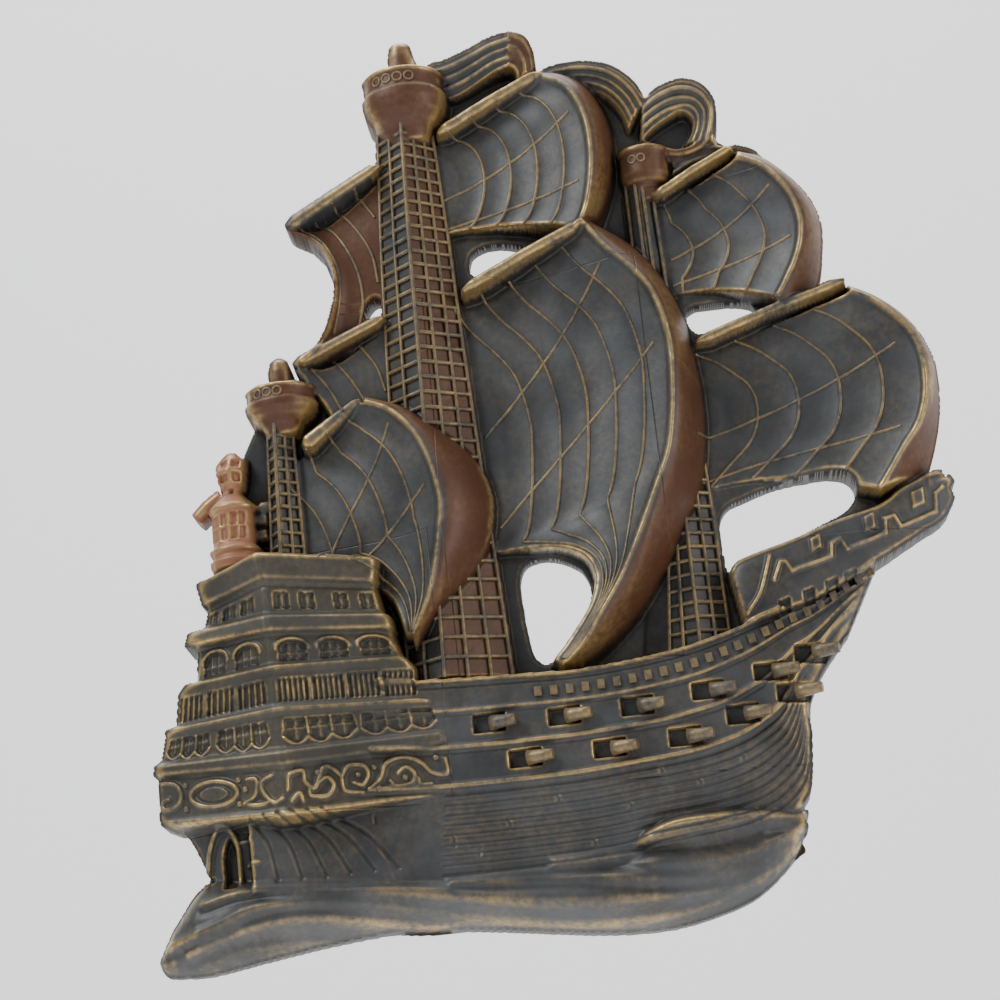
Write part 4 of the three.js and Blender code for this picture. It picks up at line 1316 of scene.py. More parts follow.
NESTS = (
    Nest(
        x=-20.6, base=13.5,
        bowl=(
            (146, 8.0), (150.5, 10.0), (153.5, 12.6), (157.5, 15.0), (162, 16.2), (165.4, 16.4),
            (166.4, 15.4), (167.2, 15.2), (171.6, 15.3), (172.6, 16.0), (174, 15.6), (174.8, 13.0)
        ),
        stub=((170, 5.0), (184, 4.8), (187.5, 4.1), (189.6, 2.6), (190.4, 0.8)),
        rings=(169.4, 1.75, (128, 111, 94, 77)),
    ),
    Nest(
        x=-77.8, base=12.5,
        bowl=(
            (34, 6.0), (38, 8.0), (41, 11.6), (43.6, 13.4), (46.6, 13.8), (47.2, 13.0), (51, 13.0),
            (51.8, 13.6), (52.8, 12.8), (53.4, 10.5)
        ),
        stub=((50, 4.2), (61, 4.0), (64, 3.2), (65.6, 1.0)),
        rings=(49.1, 1.6, (126, 108, 90)),
    ),
    Nest(
        x=68.2, base=8.5,
        bowl=(
            (112, 5.4), (117, 6.2), (119, 8.6), (122, 9.6), (130, 9.6), (131.2, 10.2), (133, 10.0),
            (134, 7.5)
        ),
        stub=(),
        rings=(127.4, 1.5, (118, 96)),
    ),
)


# ---- Sails --------------------------------------------------------------------------------


@dataclass
class Sail:
    """A sail: cloth hollowed between the mast and its leech, and the back of the leech.

    Attributes:
        inner: Its edge at the mast, then along any foot and tail.
        crest: The leech, its highest edge.
        outer: Where the back of the leech meets the wall.
        seams: How many seams it has.
        step: How far apart they are.
        hollow: How deep the cloth sinks between its edges.
        sag: How far its foot bows.
        crosses: Seams that run across it, from and to shares of its height.
        back: Colour of the back of the leech.
    """

    inner: Points
    crest: Points
    outer: Points
    seams: int
    step: float
    hollow: float
    sag: float
    crosses: Points
    back: Tint = Tint.COPPER
    margin: float = 3.0

    def edges(self, count: int) -> tuple[Array, Array, Array]:
        """The inner edge, crest and outer edge as matched points."""
        return spline(self.inner, count), spline(self.crest, count), spline(self.outer, count)

    def cloth(self, v: Array, share: Array) -> tuple[Array, Array, Array]:
        """A point of the cloth.

        Args:
            v: Share down the sail.
            share: Share from the inner edge to the crest.

        Returns:
            Its x, z and depth.
        """
        run = np.linspace(0.0, 1.0, 300)
        inner, crest, _ = self.edges(300)
        a = [np.interp(v, run, inner[:, k]) for k in range(3)]
        b = [np.interp(v, run, crest[:, k]) for k in range(3)]
        width = np.hypot(b[0] - a[0], b[1] - a[1])
        bow = np.sin(math.pi * share)
        x = a[0] + (b[0] - a[0]) * share
        z = a[1] + (b[1] - a[1]) * share + self.sag * v**3 * bow
        dip = self.hollow * np.minimum(1.0, width / 60) * 0.5 * bow
        return x, z, a[2] + (b[2] - a[2]) * share**1.7 - dip

    def seam(self, k: float, start: float = 0.0, end: float = 1.0, count: int = 90) -> Array:
        """The path of a seam k steps in from the crest."""
        v = np.linspace(start, end, count)
        inner, crest, _ = self.edges(300)
        run = np.linspace(0.0, 1.0, 300)
        gap = crest - inner
        width = np.interp(v, run, np.hypot(gap[:, 0], gap[:, 1]))
        pace = np.minimum(self.step, (width - self.margin) / (self.seams + 0.5))
        x, z, _ = self.cloth(v, np.clip(1 - k * pace / width, 0.0, 1.0))
        return np.column_stack([x, z])

    def lay(self, canvas: Canvas) -> None:
        """Lay the cloth and the back of the leech."""
        v = np.linspace(0.0, 1.0, 1500)[:, None]
        share = np.linspace(0.0, 1.0, 760)[None, :]
        canvas.lay(*self.cloth(v, share))
        _, crest, outer = self.edges(1500)
        s = np.linspace(0.0, 1.0, 240)[None, :]
        fall = np.cos(math.pi / 2 * s) ** 0.85
        x = crest[:, :1] + (outer[:, :1] - crest[:, :1]) * s
        z = crest[:, 1:2] + (outer[:, 1:2] - crest[:, 1:2]) * s
        depth = outer[:, 2:] + (crest[:, 2:] - outer[:, 2:]) * fall
        canvas.lay(x, z, depth, self.back, smoothstep(0.0, 0.25, s) + 0 * depth)

    def details(self, canvas: Canvas) -> None:
        """Raise the rolled crest and hollow each cloth between its seams."""
        _, crest, _ = self.edges(240)
        canvas.stroke(crest[:, :2] - [0.6, 0.0], 1.5, 0.9)
        for k in range(self.seams + 1):
            canvas.stroke(self.seam(k + 0.5, 0.02, 0.97), self.step * 0.42, 0.55, cut=True)

    def seam_lines(self, canvas: Canvas) -> list[Array]:
        """The raised seams on the face of the cloth."""
        lines = []
        for k in range(1, self.seams + 1):
            lines.append(canvas.on_face(self.seam(k, 0.015, 0.985), 0.05))
        for start, end in self.crosses:
            v = np.linspace(start, end, 60)
            x, z, _ = self.cloth(v, np.linspace(0.12, 0.93, 60))
            lines.append(canvas.on_face(np.column_stack([x, z]), -0.12))
        return lines


SAILS = {
    "main_course": Sail(
        inner=(
            (-22, 75, 9), (-14, 30, 9), (-8, -17, 10), (6, -20, 13.5), (20, -21.5, 15.5), (29, -27, 18),
            (31.5, -35, 20), (29, -44, 20), (21, -55, 19), (13, -64, 18)
        ),
        crest=(
            (43, 100, 26), (50, 88.6, 28), (58, 79, 30), (64, 70, 31), (67.2, 60, 32), (69.2, 47, 32),
            (68.7, 35, 32), (67, 20, 32), (63.8, 6, 31.3), (58, -6.5, 30.6), (50, -23, 30), (42, -37.6, 29),
            (33, -50, 28), (25, -60.6, 26), (16.5, -68, 24)
        ),
        outer=(
            (46, 105, 10), (58, 97, 9), (68, 84, 9), (74.3, 69, 9), (77.3, 53.7, 9), (79.3, 33.5, 9),
            (78.3, 13.3, 9), (74.3, -5, 9), (68.2, -19, 9), (58, -35, 9), (46, -49.4, 9), (35, -59.5, 9),
            (25, -67, 9)
        ),
        seams=5, step=11.6, hollow=5, sag=0, crosses=((0.3, 0.09), (0.5, 0.3)),
    ),
    "main_topsail": Sail(
        inner=((-22, 142.5, 11), (-16, 108.5, 12)),
        crest=(
            (33, 164, 22), (40, 160, 24), (45, 153, 26), (48, 144, 26.5), (49, 134, 27), (48.5, 124, 27),
            (46.5, 113, 27), (44, 105, 26.5), (40.5, 99, 26)
        ),
        outer=(
            (33, 171, 9), (42, 169.5, 8), (50, 164, 8), (55, 154, 8), (57.6, 142, 8), (57, 129, 8),
            (54, 116, 8), (49, 104, 8)
        ),
        seams=4, step=10.6, hollow=4, sag=4, crosses=((0.62, 0.3), (0.95, 0.72)),
    ),
    "fore_topsail": Sail(
        inner=((66, 108, 9), (68, 73.5, 9)),
        crest=(
            (102.8, 122, 20), (111.6, 116.5, 21.5), (117.5, 109, 23), (121.4, 101, 23.5), (123.3, 91.6, 24),
            (122.4, 84, 23.5), (119.4, 76, 23), (115.6, 69.6, 22), (111, 62.5, 21)
        ),
        outer=(
            (104.5, 128.5, 7), (112.6, 125.5, 7), (120.6, 118, 7), (127.7, 108.5, 7), (131.3, 99.4, 7),
            (131.8, 91, 7), (130.5, 82, 7), (128.5, 73, 7), (124, 64, 7)
        ),
        seams=3, step=13.6, hollow=3, sag=4, crosses=((0.6, 0.28), (0.9, 0.62)),
    ),
    "fore_course": Sail(
        inner=((60, 46, 8), (66, -6, 9)),
        crest=(
            (137.5, 62, 21), (145.3, 56.5, 22.5), (152, 49, 24), (157, 42, 24.5), (159.6, 33.8, 25),
            (160, 25, 25), (158.6, 15, 25), (155, 6.4, 24), (149, -1.2, 23), (144, -8, 21.5), (138, -16, 20)
        ),
        outer=(
            (138, 68.5, 7), (147.9, 62.5, 7), (155.9, 55.5, 7), (162, 46.5, 7), (165.6, 36, 7),
            (166, 26.7, 7), (164.8, 14.6, 7), (161.5, 2.5, 7), (157, -9, 7)
        ),
        seams=4, step=15.4, hollow=4, sag=7, crosses=((0.62, 0.33), (0.95, 0.7)),
    ),
    "mizzen": Sail(
        inner=((-84, 20, 11), (-84, -20, 12), (-60, -22, 14), (-44, -33, 18), (-38.5, -50, 22)),
        crest=(
            (-46, 41, 24), (-37, 36, 26), (-29, 27, 28.5), (-24.6, 18, 29.7), (-21.5, 6, 30.6),
            (-20.5, -4, 31), (-22, -14, 31), (-24, -24, 31), (-28, -37, 30), (-35.5, -51, 28)
        ),
        outer=(
            (-46, 45, 17), (-30, 38.5, 15), (-15, 26, 14), (-5, 11, 14), (-2.5, 0, 14), (-5, -15, 15),
            (-12, -28, 16), (-24.5, -42.5, 18), (-35.5, -54, 21)
        ),
        seams=4, step=11.6, hollow=4, sag=0, crosses=((0.5, 0.14), (0.62, 0.42)),
    ),
}


@dataclass
class FarSails:
    """The sails that show on the left of the main mast, behind it."""

    edge: Points = (
        (-69.5, 116.5, 15), (-61, 111, 16), (-56, 104, 17), (-54, 94, 17), (-55, 85, 17), (-58, 76, 16),
        (-63, 68, 15), (-70, 62.5, 14)
    )
    low_edge: Points = ((-72, 60, 15), (-62, 45, 15), (-56, 30, 15), (-50, 15, 14))

    def lay(self, canvas: Canvas) -> None:
        """Lay the upper and the lower one."""
        edge = spline(self.edge, 9)
        lay_loft(
            canvas,
            [
                [p, p + [5, 0.5, -3.5], p + [12, 1, -4.5], (-28, 138 - k * 8, 12)] for k,
                p in enumerate(edge)
            ],
            Tint.COPPER
        )
        low = spline(self.low_edge, 5)
        lay_loft(
            canvas,
            [[p, p + [6, 0.5, -2.5], p + [14, 1, -3.5], (-28, 78 - k * 15, 12)] for k, p in enumerate(low)]
        )

    def details(self, canvas: Canvas) -> None:
        """Raise the rolled edge of the upper one."""
        canvas.stroke(spline([(x, z) for x, z, _ in self.edge], 90) + [0.8, 0], 1.2, 1.0)

    def seam_lines(self, canvas: Canvas) -> list[Array]:
        """The seams of both."""
        traces = (
            [(-66.5, 118), (-59, 112.5), (-54.5, 105), (-51.8, 95), (-53, 83), (-56, 73)],
            [(-60.5, 121), (-53, 115), (-47.5, 105), (-44.5, 95), (-44, 84), (-46, 76)],
            [(-52, 125.5), (-45, 116.5), (-39, 104), (-37.5, 92)],
            [(-43, 130), (-36.5, 119)],
            [(-66, 60.5), (-59.5, 51), (-54, 38)],
            [(-57.5, 63.5), (-51, 54), (-46, 44)],
            [(-47, 68), (-41, 58), (-38.5, 48)],
        )
        return [canvas.on_face(spline(trace, 50), 0.05) for trace in traces]


@dataclass
class Yards:
    """The spars that the sails hang from: ends of each, with depths, and their radii."""

    spars: tuple = (
        (((-6, 81, 19), (20, 92, 22.5), (43, 100.5, 26)), 2.6, 2.4),
        (((-9.5, 148, 16.5), (12, 157.5, 19.5), (33, 166, 22)), 2.6, 2.3),
        (((-70.5, 118, 14), (-51, 128.5, 15), (-32, 138.5, 16)), 2.9, 2.3),
        (((-72, 61.5, 14), (-54, 69, 15), (-36, 76, 16)), 2.4, 2.3),
        (((70.5, 112, 14), (86, 119.5, 17), (102, 126, 19.5)), 2.1, 1.9),
        (((78.5, 51.2, 14), (107, 59, 17.5), (136.5, 66, 20.5)), 2.4, 2.0),
        (((-70.5, 27.5, 18), (-59, 35, 20), (-47, 42.5, 22)), 3.6, 1.8),
    )

    def lay(self, canvas: Canvas) -> None:
        """Lay every spar."""
        for line, near, far in self.spars:
            lay_rod(
                canvas, np.array(line, float), lambda s, a=near,
                b=far: (a + (b - a) * s) * np.minimum(1, 6 * np.minimum(s, 1 - s) + 0.45)
            )


# ---- Pennants -----------------------------------------------------------------------------


@dataclass
class Pennant:
    """A run of fluted ribbon between two edges.

    Attributes:
        upper: Its upper edge.
        lower: Its lower edge.
        flutes: How many ridges run along it.
        tint: Its colour.
    """

    upper: Points
    lower: Points
    flutes: int
    tint: Tint = Tint.SLATE

    def lay(self, canvas: Canvas) -> None:
        """Lay the ribbon with its flutes."""
        upper, lower = spline(self.upper, 900)[:, None], spline(self.lower, 900)[:, None]
        t = np.linspace(0.0, 1.0, 260)[None, :]
        flute = 0.9 * np.cos(2 * math.pi * self.flutes * t) - 2.0 * np.abs(2 * t - 1) ** 8
        mix = upper + (lower - upper) * t[..., None]
        canvas.lay(mix[..., 0], mix[..., 1], mix[..., 2] + flute, self.tint, 0.8)


PENNANTS = (
    Pennant(
        upper=((-11, 180, 14), (-4, 180.5, 15), (6, 183.5, 16), (15, 186.5, 17.5), (23, 187.3, 18.5)),
        lower=((-9, 164, 12), (0, 165, 13), (8, 168.5, 14), (15, 171.5, 16), (21, 172.5, 18)),
        flutes=4,
    ),
    Pennant(
        upper=((22, 187.2, 19), (28, 184.5, 18.5), (31, 178, 17.5), (31, 171, 16)),
        lower=((21, 172.4, 18), (22.6, 171.5, 17), (23.4, 169.4, 16), (23, 166.5, 15)),
        flutes=2, tint=Tint.COPPER,
    ),
    Pennant(
        upper=(
            (27, 169, 15), (38, 171.6, 16), (50, 171.6, 16.5), (60, 168, 17), (68, 160.5, 16.5),
            (72, 153, 15.5)
        ),
        lower=(
            (36, 163, 12), (44, 161.5, 12.5), (52, 160, 13), (58, 155.5, 13.5), (62, 149, 13.5),
            (64, 142, 13)
        ),
        flutes=4,
    ),
    Pennant(
        upper=(
            (70.5, 153, 15), (78, 157, 16.5), (87, 158.6, 17), (94, 155, 17), (98, 147.5, 16.5),
            (97.5, 140, 15.5), (95.5, 132, 14.5)
        ),
        lower=(
            (68, 136.5, 12), (73, 140.5, 13), (79, 144, 13.5), (85.5, 146, 14), (88.5, 143, 13.5),
            (88, 138, 13), (85, 133.5, 12)
        ),
        flutes=4,
    ),
    Pennant(
        upper=((69, 138, 11), (75, 134.5, 12.5), (82, 131.5, 13.5), (90, 133.5, 14), (95.5, 139.5, 14)),
        lower=((68, 130, 10), (75, 127.5, 10.5), (83, 126, 11), (92, 127.5, 12), (97, 131, 13)),
        flutes=2, tint=Tint.COPPER,
    ),
    Pennant(
        upper=(
            (79, 126.5, 11), (88, 130.5, 13), (97, 130.6, 13.5), (105, 129.4, 13), (111, 126.6, 12),
            (115, 121.5, 10)
        ),
        lower=(
            (78, 118, 9), (88, 121.5, 10), (97, 123, 10.5), (104, 122, 10), (108, 119, 9.5), (110, 116, 9)
        ),
        flutes=2,
    ),
)


# ---- Web behind the rigging ---------------------------------------------------------------


@dataclass
class Web:
    """The thin plate behind the rigging, pierced between the sails."""

    outline: Points = (
        (-113, -120), (-130, -106), (-128, -80), (-117, -55), (-112, -38), (-108, -24), (-108, -8), (-104, 8), (-95, 30), (-88, 44), (-79, 62), (-70, 46),
        (-60, 52), (-68, 62), (-57, 76), (-54, 92), (-58, 106), (-66, 116), (-36, 132), (-34, 152), (-28, 178), (-19, 186), (-8, 178), (24, 184), (31, 178),
        (31, 170), (50, 170), (64, 163), (72, 155), (86, 156), (94, 149), (95, 136), (110, 125), (124, 108), (130, 92), (126, 66), (140, 66), (156, 54),
        (165, 36), (164, 14), (155, -8), (138, -30), (118, -62), (104, -84), (98, -118),
    )
    holes: tuple = (
        (
            (-2.5, 93), (-1.5, 100.5), (2.5, 103), (8, 103.8), (15, 102.4), (21.5, 100), (11, 94.8),
            (2, 91.2)
        ),
        ((-44, 79), (-42.5, 83.5), (-39.5, 86), (-37.8, 85.5), (-37.8, 79), (-40, 77.6)),
        (
            (4.2, -29), (6.5, -24.5), (11, -22.9), (16, -23), (22, -25.2), (27, -29), (29.4, -35),
            (28.8, -41), (25, -48), (18.5, -57), (13.6, -61.6), (9.6, -62.6), (6.6, -59.5), (4.8, -50),
            (4, -39)
        ),
        (
            (77, 66), (80, 68.2), (88, 68.6), (97, 67.8), (102, 65.8), (103.4, 63), (98, 60.6), (88, 58.2),
            (80.5, 57.4), (77.8, 60)
        ),
        (
            (79.4, -17), (82.5, -11.8), (90, -9), (100, -6), (112, -4.6), (122, -4.6), (127.5, -6.6),
            (130, -11), (128.6, -15.6), (124, -19.4), (116, -22.6), (106, -26.6), (96, -30), (88, -31.8),
            (83.4, -34), (80.4, -37), (79.2, -30)
        ),
    )

    def lay(self, canvas: Canvas) -> None:
        """Lay the plate."""
        canvas.plate(np.asarray(self.outline, float), WEB_DEPTH)

    def pierce(self, canvas: Canvas) -> None:
        """Open the holes through everything laid inside them."""
        for hole in self.holes:
            outline = closed_spline(hole, 120)
            canvas.depth[canvas.inside(outline)] = 0.0


# ---- The body of the moulding -------------------------------------------------------------


@dataclass
class Body:
    """The moulding itself, as closed meshes cut from the canvas.

    Attributes:
        canvas: The finished canvas.
        finish: What every piece is dressed in.
        keyhole: Its x and z, radius, half the slot, how far the slot rises, and how deep it is.
    """

    canvas: Canvas
    finish: "Patina"
    keyhole: tuple[float, float, float, float, float, float] = (-18.0, 120.0, 4.5, 2.5, 14.0, 9.0)

    def regions(self) -> dict[str, Array]:
        """The stretch of cells that each piece takes."""
        x, z = self.canvas.x, self.canvas.z
        free = np.ones(x.shape, bool)
        wanted = {
            "swell_relief": z < -112.5,
            "stern_relief": (x < -27) & (z < -12),
            "hull_relief": (z < -69) | ((x > 78) & (z < -30)),
            "mizzen_relief": (x < -21) & (z < 80),
            "main_course_relief": (x < 60) & (z < 84),
            "fore_relief": (x >= 58) & (z < 116),
            "topmast_relief": z > -500,
        }
        regions = {}
        for name, claim in wanted.items():
            regions[name] = claim & free
            free &= ~claim
        return regions

    def solid(self) -> Array:
        """Which cells hold material, inside the box of the solid, with stray cells cleaned away."""
        low, high = CAD_BOX
        x, z = self.canvas.x * MM, self.canvas.z * MM
        within = (x > low.x) & (x < high.x) & (z > low.z) & (z < high.z)
        return self.canvas.blurred(((self.canvas.depth > 0.5) & within).astype(float), 0.45)

    def masks(self, edge: Array) -> dict[str, Array]:
        """The squares of the grid that each piece takes.

        Args:
            edge: The smoothed mask of the canvas.

        Returns:
            For each piece, one value for each square.
        """
        centre = (edge[:-1, :-1] + edge[1:, :-1] + edge[:-1, 1:] + edge[1:, 1:]) / 4 > 0.5
        squares = {name: region[:-1, :-1] & centre for name, region in self.regions().items()}
        return {name: mend_corners(mask) for name, mask in squares.items() if mask.any()}

    def snapped(self, edge: Array, squares: Array) -> tuple[Array, Array]:
        """The grid's points, with those on the outer edge moved onto the smooth outline."""
        x, z = self.canvas.x.copy(), self.canvas.z.copy()
        whole = np.zeros(x.shape)
        for shift_j in (0, 1):
            for shift_i in (0, 1):
                whole[shift_j : shift_j + squares.shape[0], shift_i : shift_i + squares.shape[1]] += squares
        rim = (whole > 0) & (whole < 4)
        slope_z, slope_x = np.gradient(edge, self.canvas.step)
        for _ in range(3):
            value = self.canvas.sample(edge, x[rim], z[rim])
            gx = self.canvas.sample(slope_x, x[rim], z[rim])
            gz = self.canvas.sample(slope_z, x[rim], z[rim])
            size = np.maximum(gx**2 + gz**2, 1e-3)
            move = np.clip((0.5 - value) / size, -0.6, 0.6)
            x[rim] += np.clip(move * gx, -0.3, 0.3)
            z[rim] += np.clip(move * gz, -0.3, 0.3)
        low, high = CAD_BOX
        return np.clip(x, low.x / MM, high.x / MM), np.clip(z, low.z / MM, high.z / MM)

    def build(self, marks: dict[str, Array]) -> list[bpy.types.Object]:
        """Build every piece.

        Args:
            marks: Fields that the finish reads, by attribute name.

        Returns:
            The pieces.
        """
        edge = self.solid()
        masks = self.masks(edge)
        x, z = self.snapped(edge, np.logical_or.reduce(list(masks.values())))
        depth = np.maximum(self.canvas.depth, 1.2)
        return [self._piece(name, mask, x, z, depth, marks) for name, mask in masks.items()]

    def _piece(
        self, name: str, mask: Array, x: Array, z: Array, depth: Array, marks: dict[str, Array]
    ) -> bpy.types.Object:
        """One closed piece: its front, its walls, its flat back, and the keyhole where that falls in it."""
        x, z, depth = x.ravel(), z.ravel(), depth.ravel()
        key = mask & self.key_squares()
        quads, starts, ends = squares_of(mask)
        _, key_starts, key_ends = squares_of(key)
        used, ring, mouth = np.unique(quads), np.unique(starts), np.unique(key_starts)
        first = np.cumsum([len(used), len(ring), len(mouth)])
        face_of, back_of, floor_of = (np.full(x.size, -1) for _ in range(3))
        face_of[used] = np.arange(len(used))
        back_of[ring] = first[0] + np.arange(len(ring))
        back_of[mouth] = first[1] + np.arange(len(mouth))
        floor_of[mouth] = first[2] + np.arange(len(mouth))
        mouth_x, mouth_z = self.on_keyhole(x[mouth], z[mouth])
        flat = np.zeros(len(mouth))
        points = MM * np.vstack([
            np.column_stack([x[used], -depth[used], z[used]]),
            np.column_stack([x[ring], np.zeros(len(ring)), z[ring]]),
            np.column_stack([mouth_x, flat, mouth_z]),
            np.column_stack([mouth_x, flat - self.keyhole[5], mouth_z]),
        ])
        walls = np.column_stack([face_of[ends], face_of[starts], back_of[starts], back_of[ends]])
        sides = np.column_stack(
            [back_of[key_ends], back_of[key_starts], floor_of[key_starts], floor_of[key_ends]]
        )
        corners = np.zeros(x.size, bool)
        corners[ring] = corners[mouth] = True
        corners = corners.reshape(self.canvas.x.shape)
        backs = [back_of[run].tolist() for run in runs(mask & ~key, corners)]
        floors = [floor_of[run].tolist() for run in runs(key, corners)]
        mesh = bpy.data.meshes.new(name)
        mesh.from_pydata(
            points.tolist(), [], face_of[quads].tolist() + walls.tolist() + sides.tolist() + backs + floors
        )
        mesh.polygons.foreach_set("use_smooth", np.arange(len(mesh.polygons)) < len(quads))
        for attribute, values in marks.items():
            # Walls and back carry a fixed painted shade in the hollow mask; the front takes the fields.
            column = np.full(len(points), WALL_PAINTED_SHADE if attribute == "hollow" else 0.0)
            column[: len(used)] = values.ravel()[used]
            mesh.attributes.new(attribute, "FLOAT", "POINT").data.foreach_set("value", column)
        mesh.materials.append(self.finish.material())
        mesh.validate()
        piece = bpy.data.objects.new(name, mesh)
        bpy.context.collection.objects.link(piece)
        log.info("%s has %d faces", name, len(mesh.polygons))
        return piece

    def keyhole_outline(self) -> Array:
        """The keyhole: a round for the head of the nail, with a slot above it."""
        x, z, radius, half, rise, _ = self.keyhole
        opens = math.asin(half / radius)
        below = np.linspace(math.pi / 2 + opens, 5 * math.pi / 2 - opens, 60)
        above = np.linspace(0.0, math.pi, 24)
        ring = [(x + radius * math.cos(a), z + radius * math.sin(a)) for a in below]
        ring += [(x + half * math.cos(a), z + rise + half * math.sin(a)) for a in above]
        return evenly(np.array(ring + ring[:1]), KEYHOLE_POINTS)

    def key_squares(self) -> Array:
        """The squares of the grid inside the keyhole."""
        return self.canvas.inside(self.keyhole_outline())[:-1, :-1]

    def on_keyhole(self, x: Array, z: Array) -> Array:
        """The points of the keyhole's outline that are nearest to some places."""
        outline = self.keyhole_outline()
        away = np.hypot(outline[:, :1] - x, outline[:, 1:] - z)
        return outline[np.argmin(away, axis=0)].T


def squares_of(mask: Array) -> tuple[Array, Array, Array]:
    """The corners of some squares of the grid, and the edges round them.

    Args:
        mask: Which squares.

    Returns:
        Four grid points a square, and where each outer edge starts and ends, its squares on the left.
    """
    rows, columns = mask.shape[0] + 1, mask.shape[1] + 1
    j, i = np.nonzero(mask)
    corner = j * columns + i
    quads = np.column_stack([corner, corner + 1, corner + columns + 1, corner + columns])
    starts = quads.ravel()
    ends = np.roll(quads, -1, axis=1).ravel()
    cells = rows * columns
    outer = ~np.isin(starts * cells + ends, ends * cells + starts)
    return quads, starts[outer], ends[outer]


def runs(squares: Array, corners: Array) -> list[Array]:
    """Faces towards the wall that cover some squares, one for each unbroken run along a row.

    Args:
        squares: The squares to cover.
        corners: Which grid points a face must have where its edge passes them.

    Returns:
        The grid points round each face.
    """
    faces = []
    columns = corners.shape[1]
    for j in np.flatnonzero(squares.any(axis=1)):
        changes = np.flatnonzero(np.diff(np.concatenate([[0], squares[j].astype(int), [0]])))
        for left, right in zip(changes[::2], changes[1::2]):
            lower = left + np.flatnonzero(corners[j, left : right + 1])
            upper = left + np.flatnonzero(corners[j + 1, left : right + 1])
            faces.append(np.concatenate([(j + 1) * columns + upper, j * columns + lower[::-1]]))
    return faces


def mend_corners(mask: Array) -> Array:
    """A mask in which no two squares touch at a corner alone."""
    mask = mask.copy()
    for _ in range(3):
        a, b, c, d = mask[:-1, :-1], mask[:-1, 1:], mask[1:, :-1], mask[1:, 1:]
        falling = a & d & ~b & ~c
        rising = b & c & ~a & ~d
        a &= ~falling
        b &= ~rising
    return mask


# ---- Finish -------------------------------------------------------------------------------


class Groups:
    """The shader node groups that the patina is built from, each made once."""

    @staticmethod
    def _new(name: str, inputs: dict[str, tuple[str, object]], outputs: dict[str, str]) -> tuple:
        """A new group with its sockets."""
        group = bpy.data.node_groups.new(name, "ShaderNodeTree")
        for title, (kind, value) in inputs.items():
            socket = group.interface.new_socket(title, in_out="INPUT", socket_type=kind)
            socket.default_value = value
        for title, kind in outputs.items():
            group.interface.new_socket(title, in_out="OUTPUT", socket_type=kind)
        return group, group.nodes.new("NodeGroupInput"), group.nodes.new("NodeGroupOutput")

    @classmethod
    def mottle(cls) -> bpy.types.NodeTree:
        """Uneven patches over a surface: an even mask from 0 to 1 at two scales."""
        known = bpy.data.node_groups.get("patina_mottle")
        if known:
            return known
        group, given, made = cls._new(
            "patina_mottle",
            {
                "Scale": ("NodeSocketFloat", 60.0), "Detail": ("NodeSocketFloat", 6.0),
                "Low": ("NodeSocketFloat", 0.35), "High": ("NodeSocketFloat", 0.65)
            },
            {"Mask": "NodeSocketFloat"},
        )
        place = group.nodes.new("ShaderNodeTexCoord")
        noise = group.nodes.new("ShaderNodeTexNoise")
        noise.inputs["Roughness"].default_value = 0.62
        spread = group.nodes.new("ShaderNodeMapRange")
        spread.interpolation_type = "SMOOTHSTEP"
        link = group.links.new
        link(place.outputs["Object"], noise.inputs["Vector"])
        link(given.outputs["Scale"], noise.inputs["Scale"])
        link(given.outputs["Detail"], noise.inputs["Detail"])
        link(noise.outputs["Fac"], spread.inputs["Value"])
        link(given.outputs["Low"], spread.inputs["From Min"])
        link(given.outputs["High"], spread.inputs["From Max"])
        link(spread.outputs["Result"], made.inputs["Mask"])
        return group

    @classmethod
    def rub(cls) -> bpy.types.NodeTree:
        """Where gold has been rubbed on: edges broken up by grain, and a light dry brushing."""
        known = bpy.data.node_groups.get("rubbed_gold")
        if known:
            return known
        group, given, made = cls._new(
            "rubbed_gold",
            {
                "Edge": ("NodeSocketFloat", 0.0), "Amount": ("NodeSocketFloat", 1.0),
                "Dry": ("NodeSocketFloat", 0.1)
            },
            {"Mask": "NodeSocketFloat"},
        )
        grain = group.nodes.new("ShaderNodeGroup")
        grain.node_tree = cls.mottle()
        grain.inputs["Scale"].default_value = 420.0
        grain.inputs["Detail"].default_value = 3.0
        grain.inputs["Low"].default_value = 0.3
        grain.inputs["High"].default_value = 0.7
        cloud = group.nodes.new("ShaderNodeGroup")
        cloud.node_tree = cls.mottle()
        cloud.inputs["Scale"].default_value = 45.0
        cloud.inputs["Low"].default_value = 0.34
        cloud.inputs["High"].default_value = 0.62
        link = group.links.new

        def maths(kind: str, a: object, b: object) -> bpy.types.NodeSocket:
            node = group.nodes.new("ShaderNodeMath")
            node.operation = kind
            node.use_clamp = kind in ("MINIMUM", "ADD")
            for socket, value in zip(node.inputs, (a, b)):
                if isinstance(value, (int, float)):
                    socket.default_value = value
                else:
                    link(value, socket)
            return node.outputs[0]

        broken = maths(
            "MULTIPLY", maths("MULTIPLY", given.outputs["Edge"], given.outputs["Amount"]),
            maths(
                "ADD", maths("MULTIPLY", grain.outputs["Mask"], 0.55),
                maths("MULTIPLY", cloud.outputs["Mask"], 0.6)
            )
        )
        brushed = maths(
            "MULTIPLY", maths("MULTIPLY", grain.outputs["Mask"], cloud.outputs["Mask"]),
            given.outputs["Dry"]
        )
        link(maths("ADD", broken, brushed), made.inputs["Mask"])
        return group


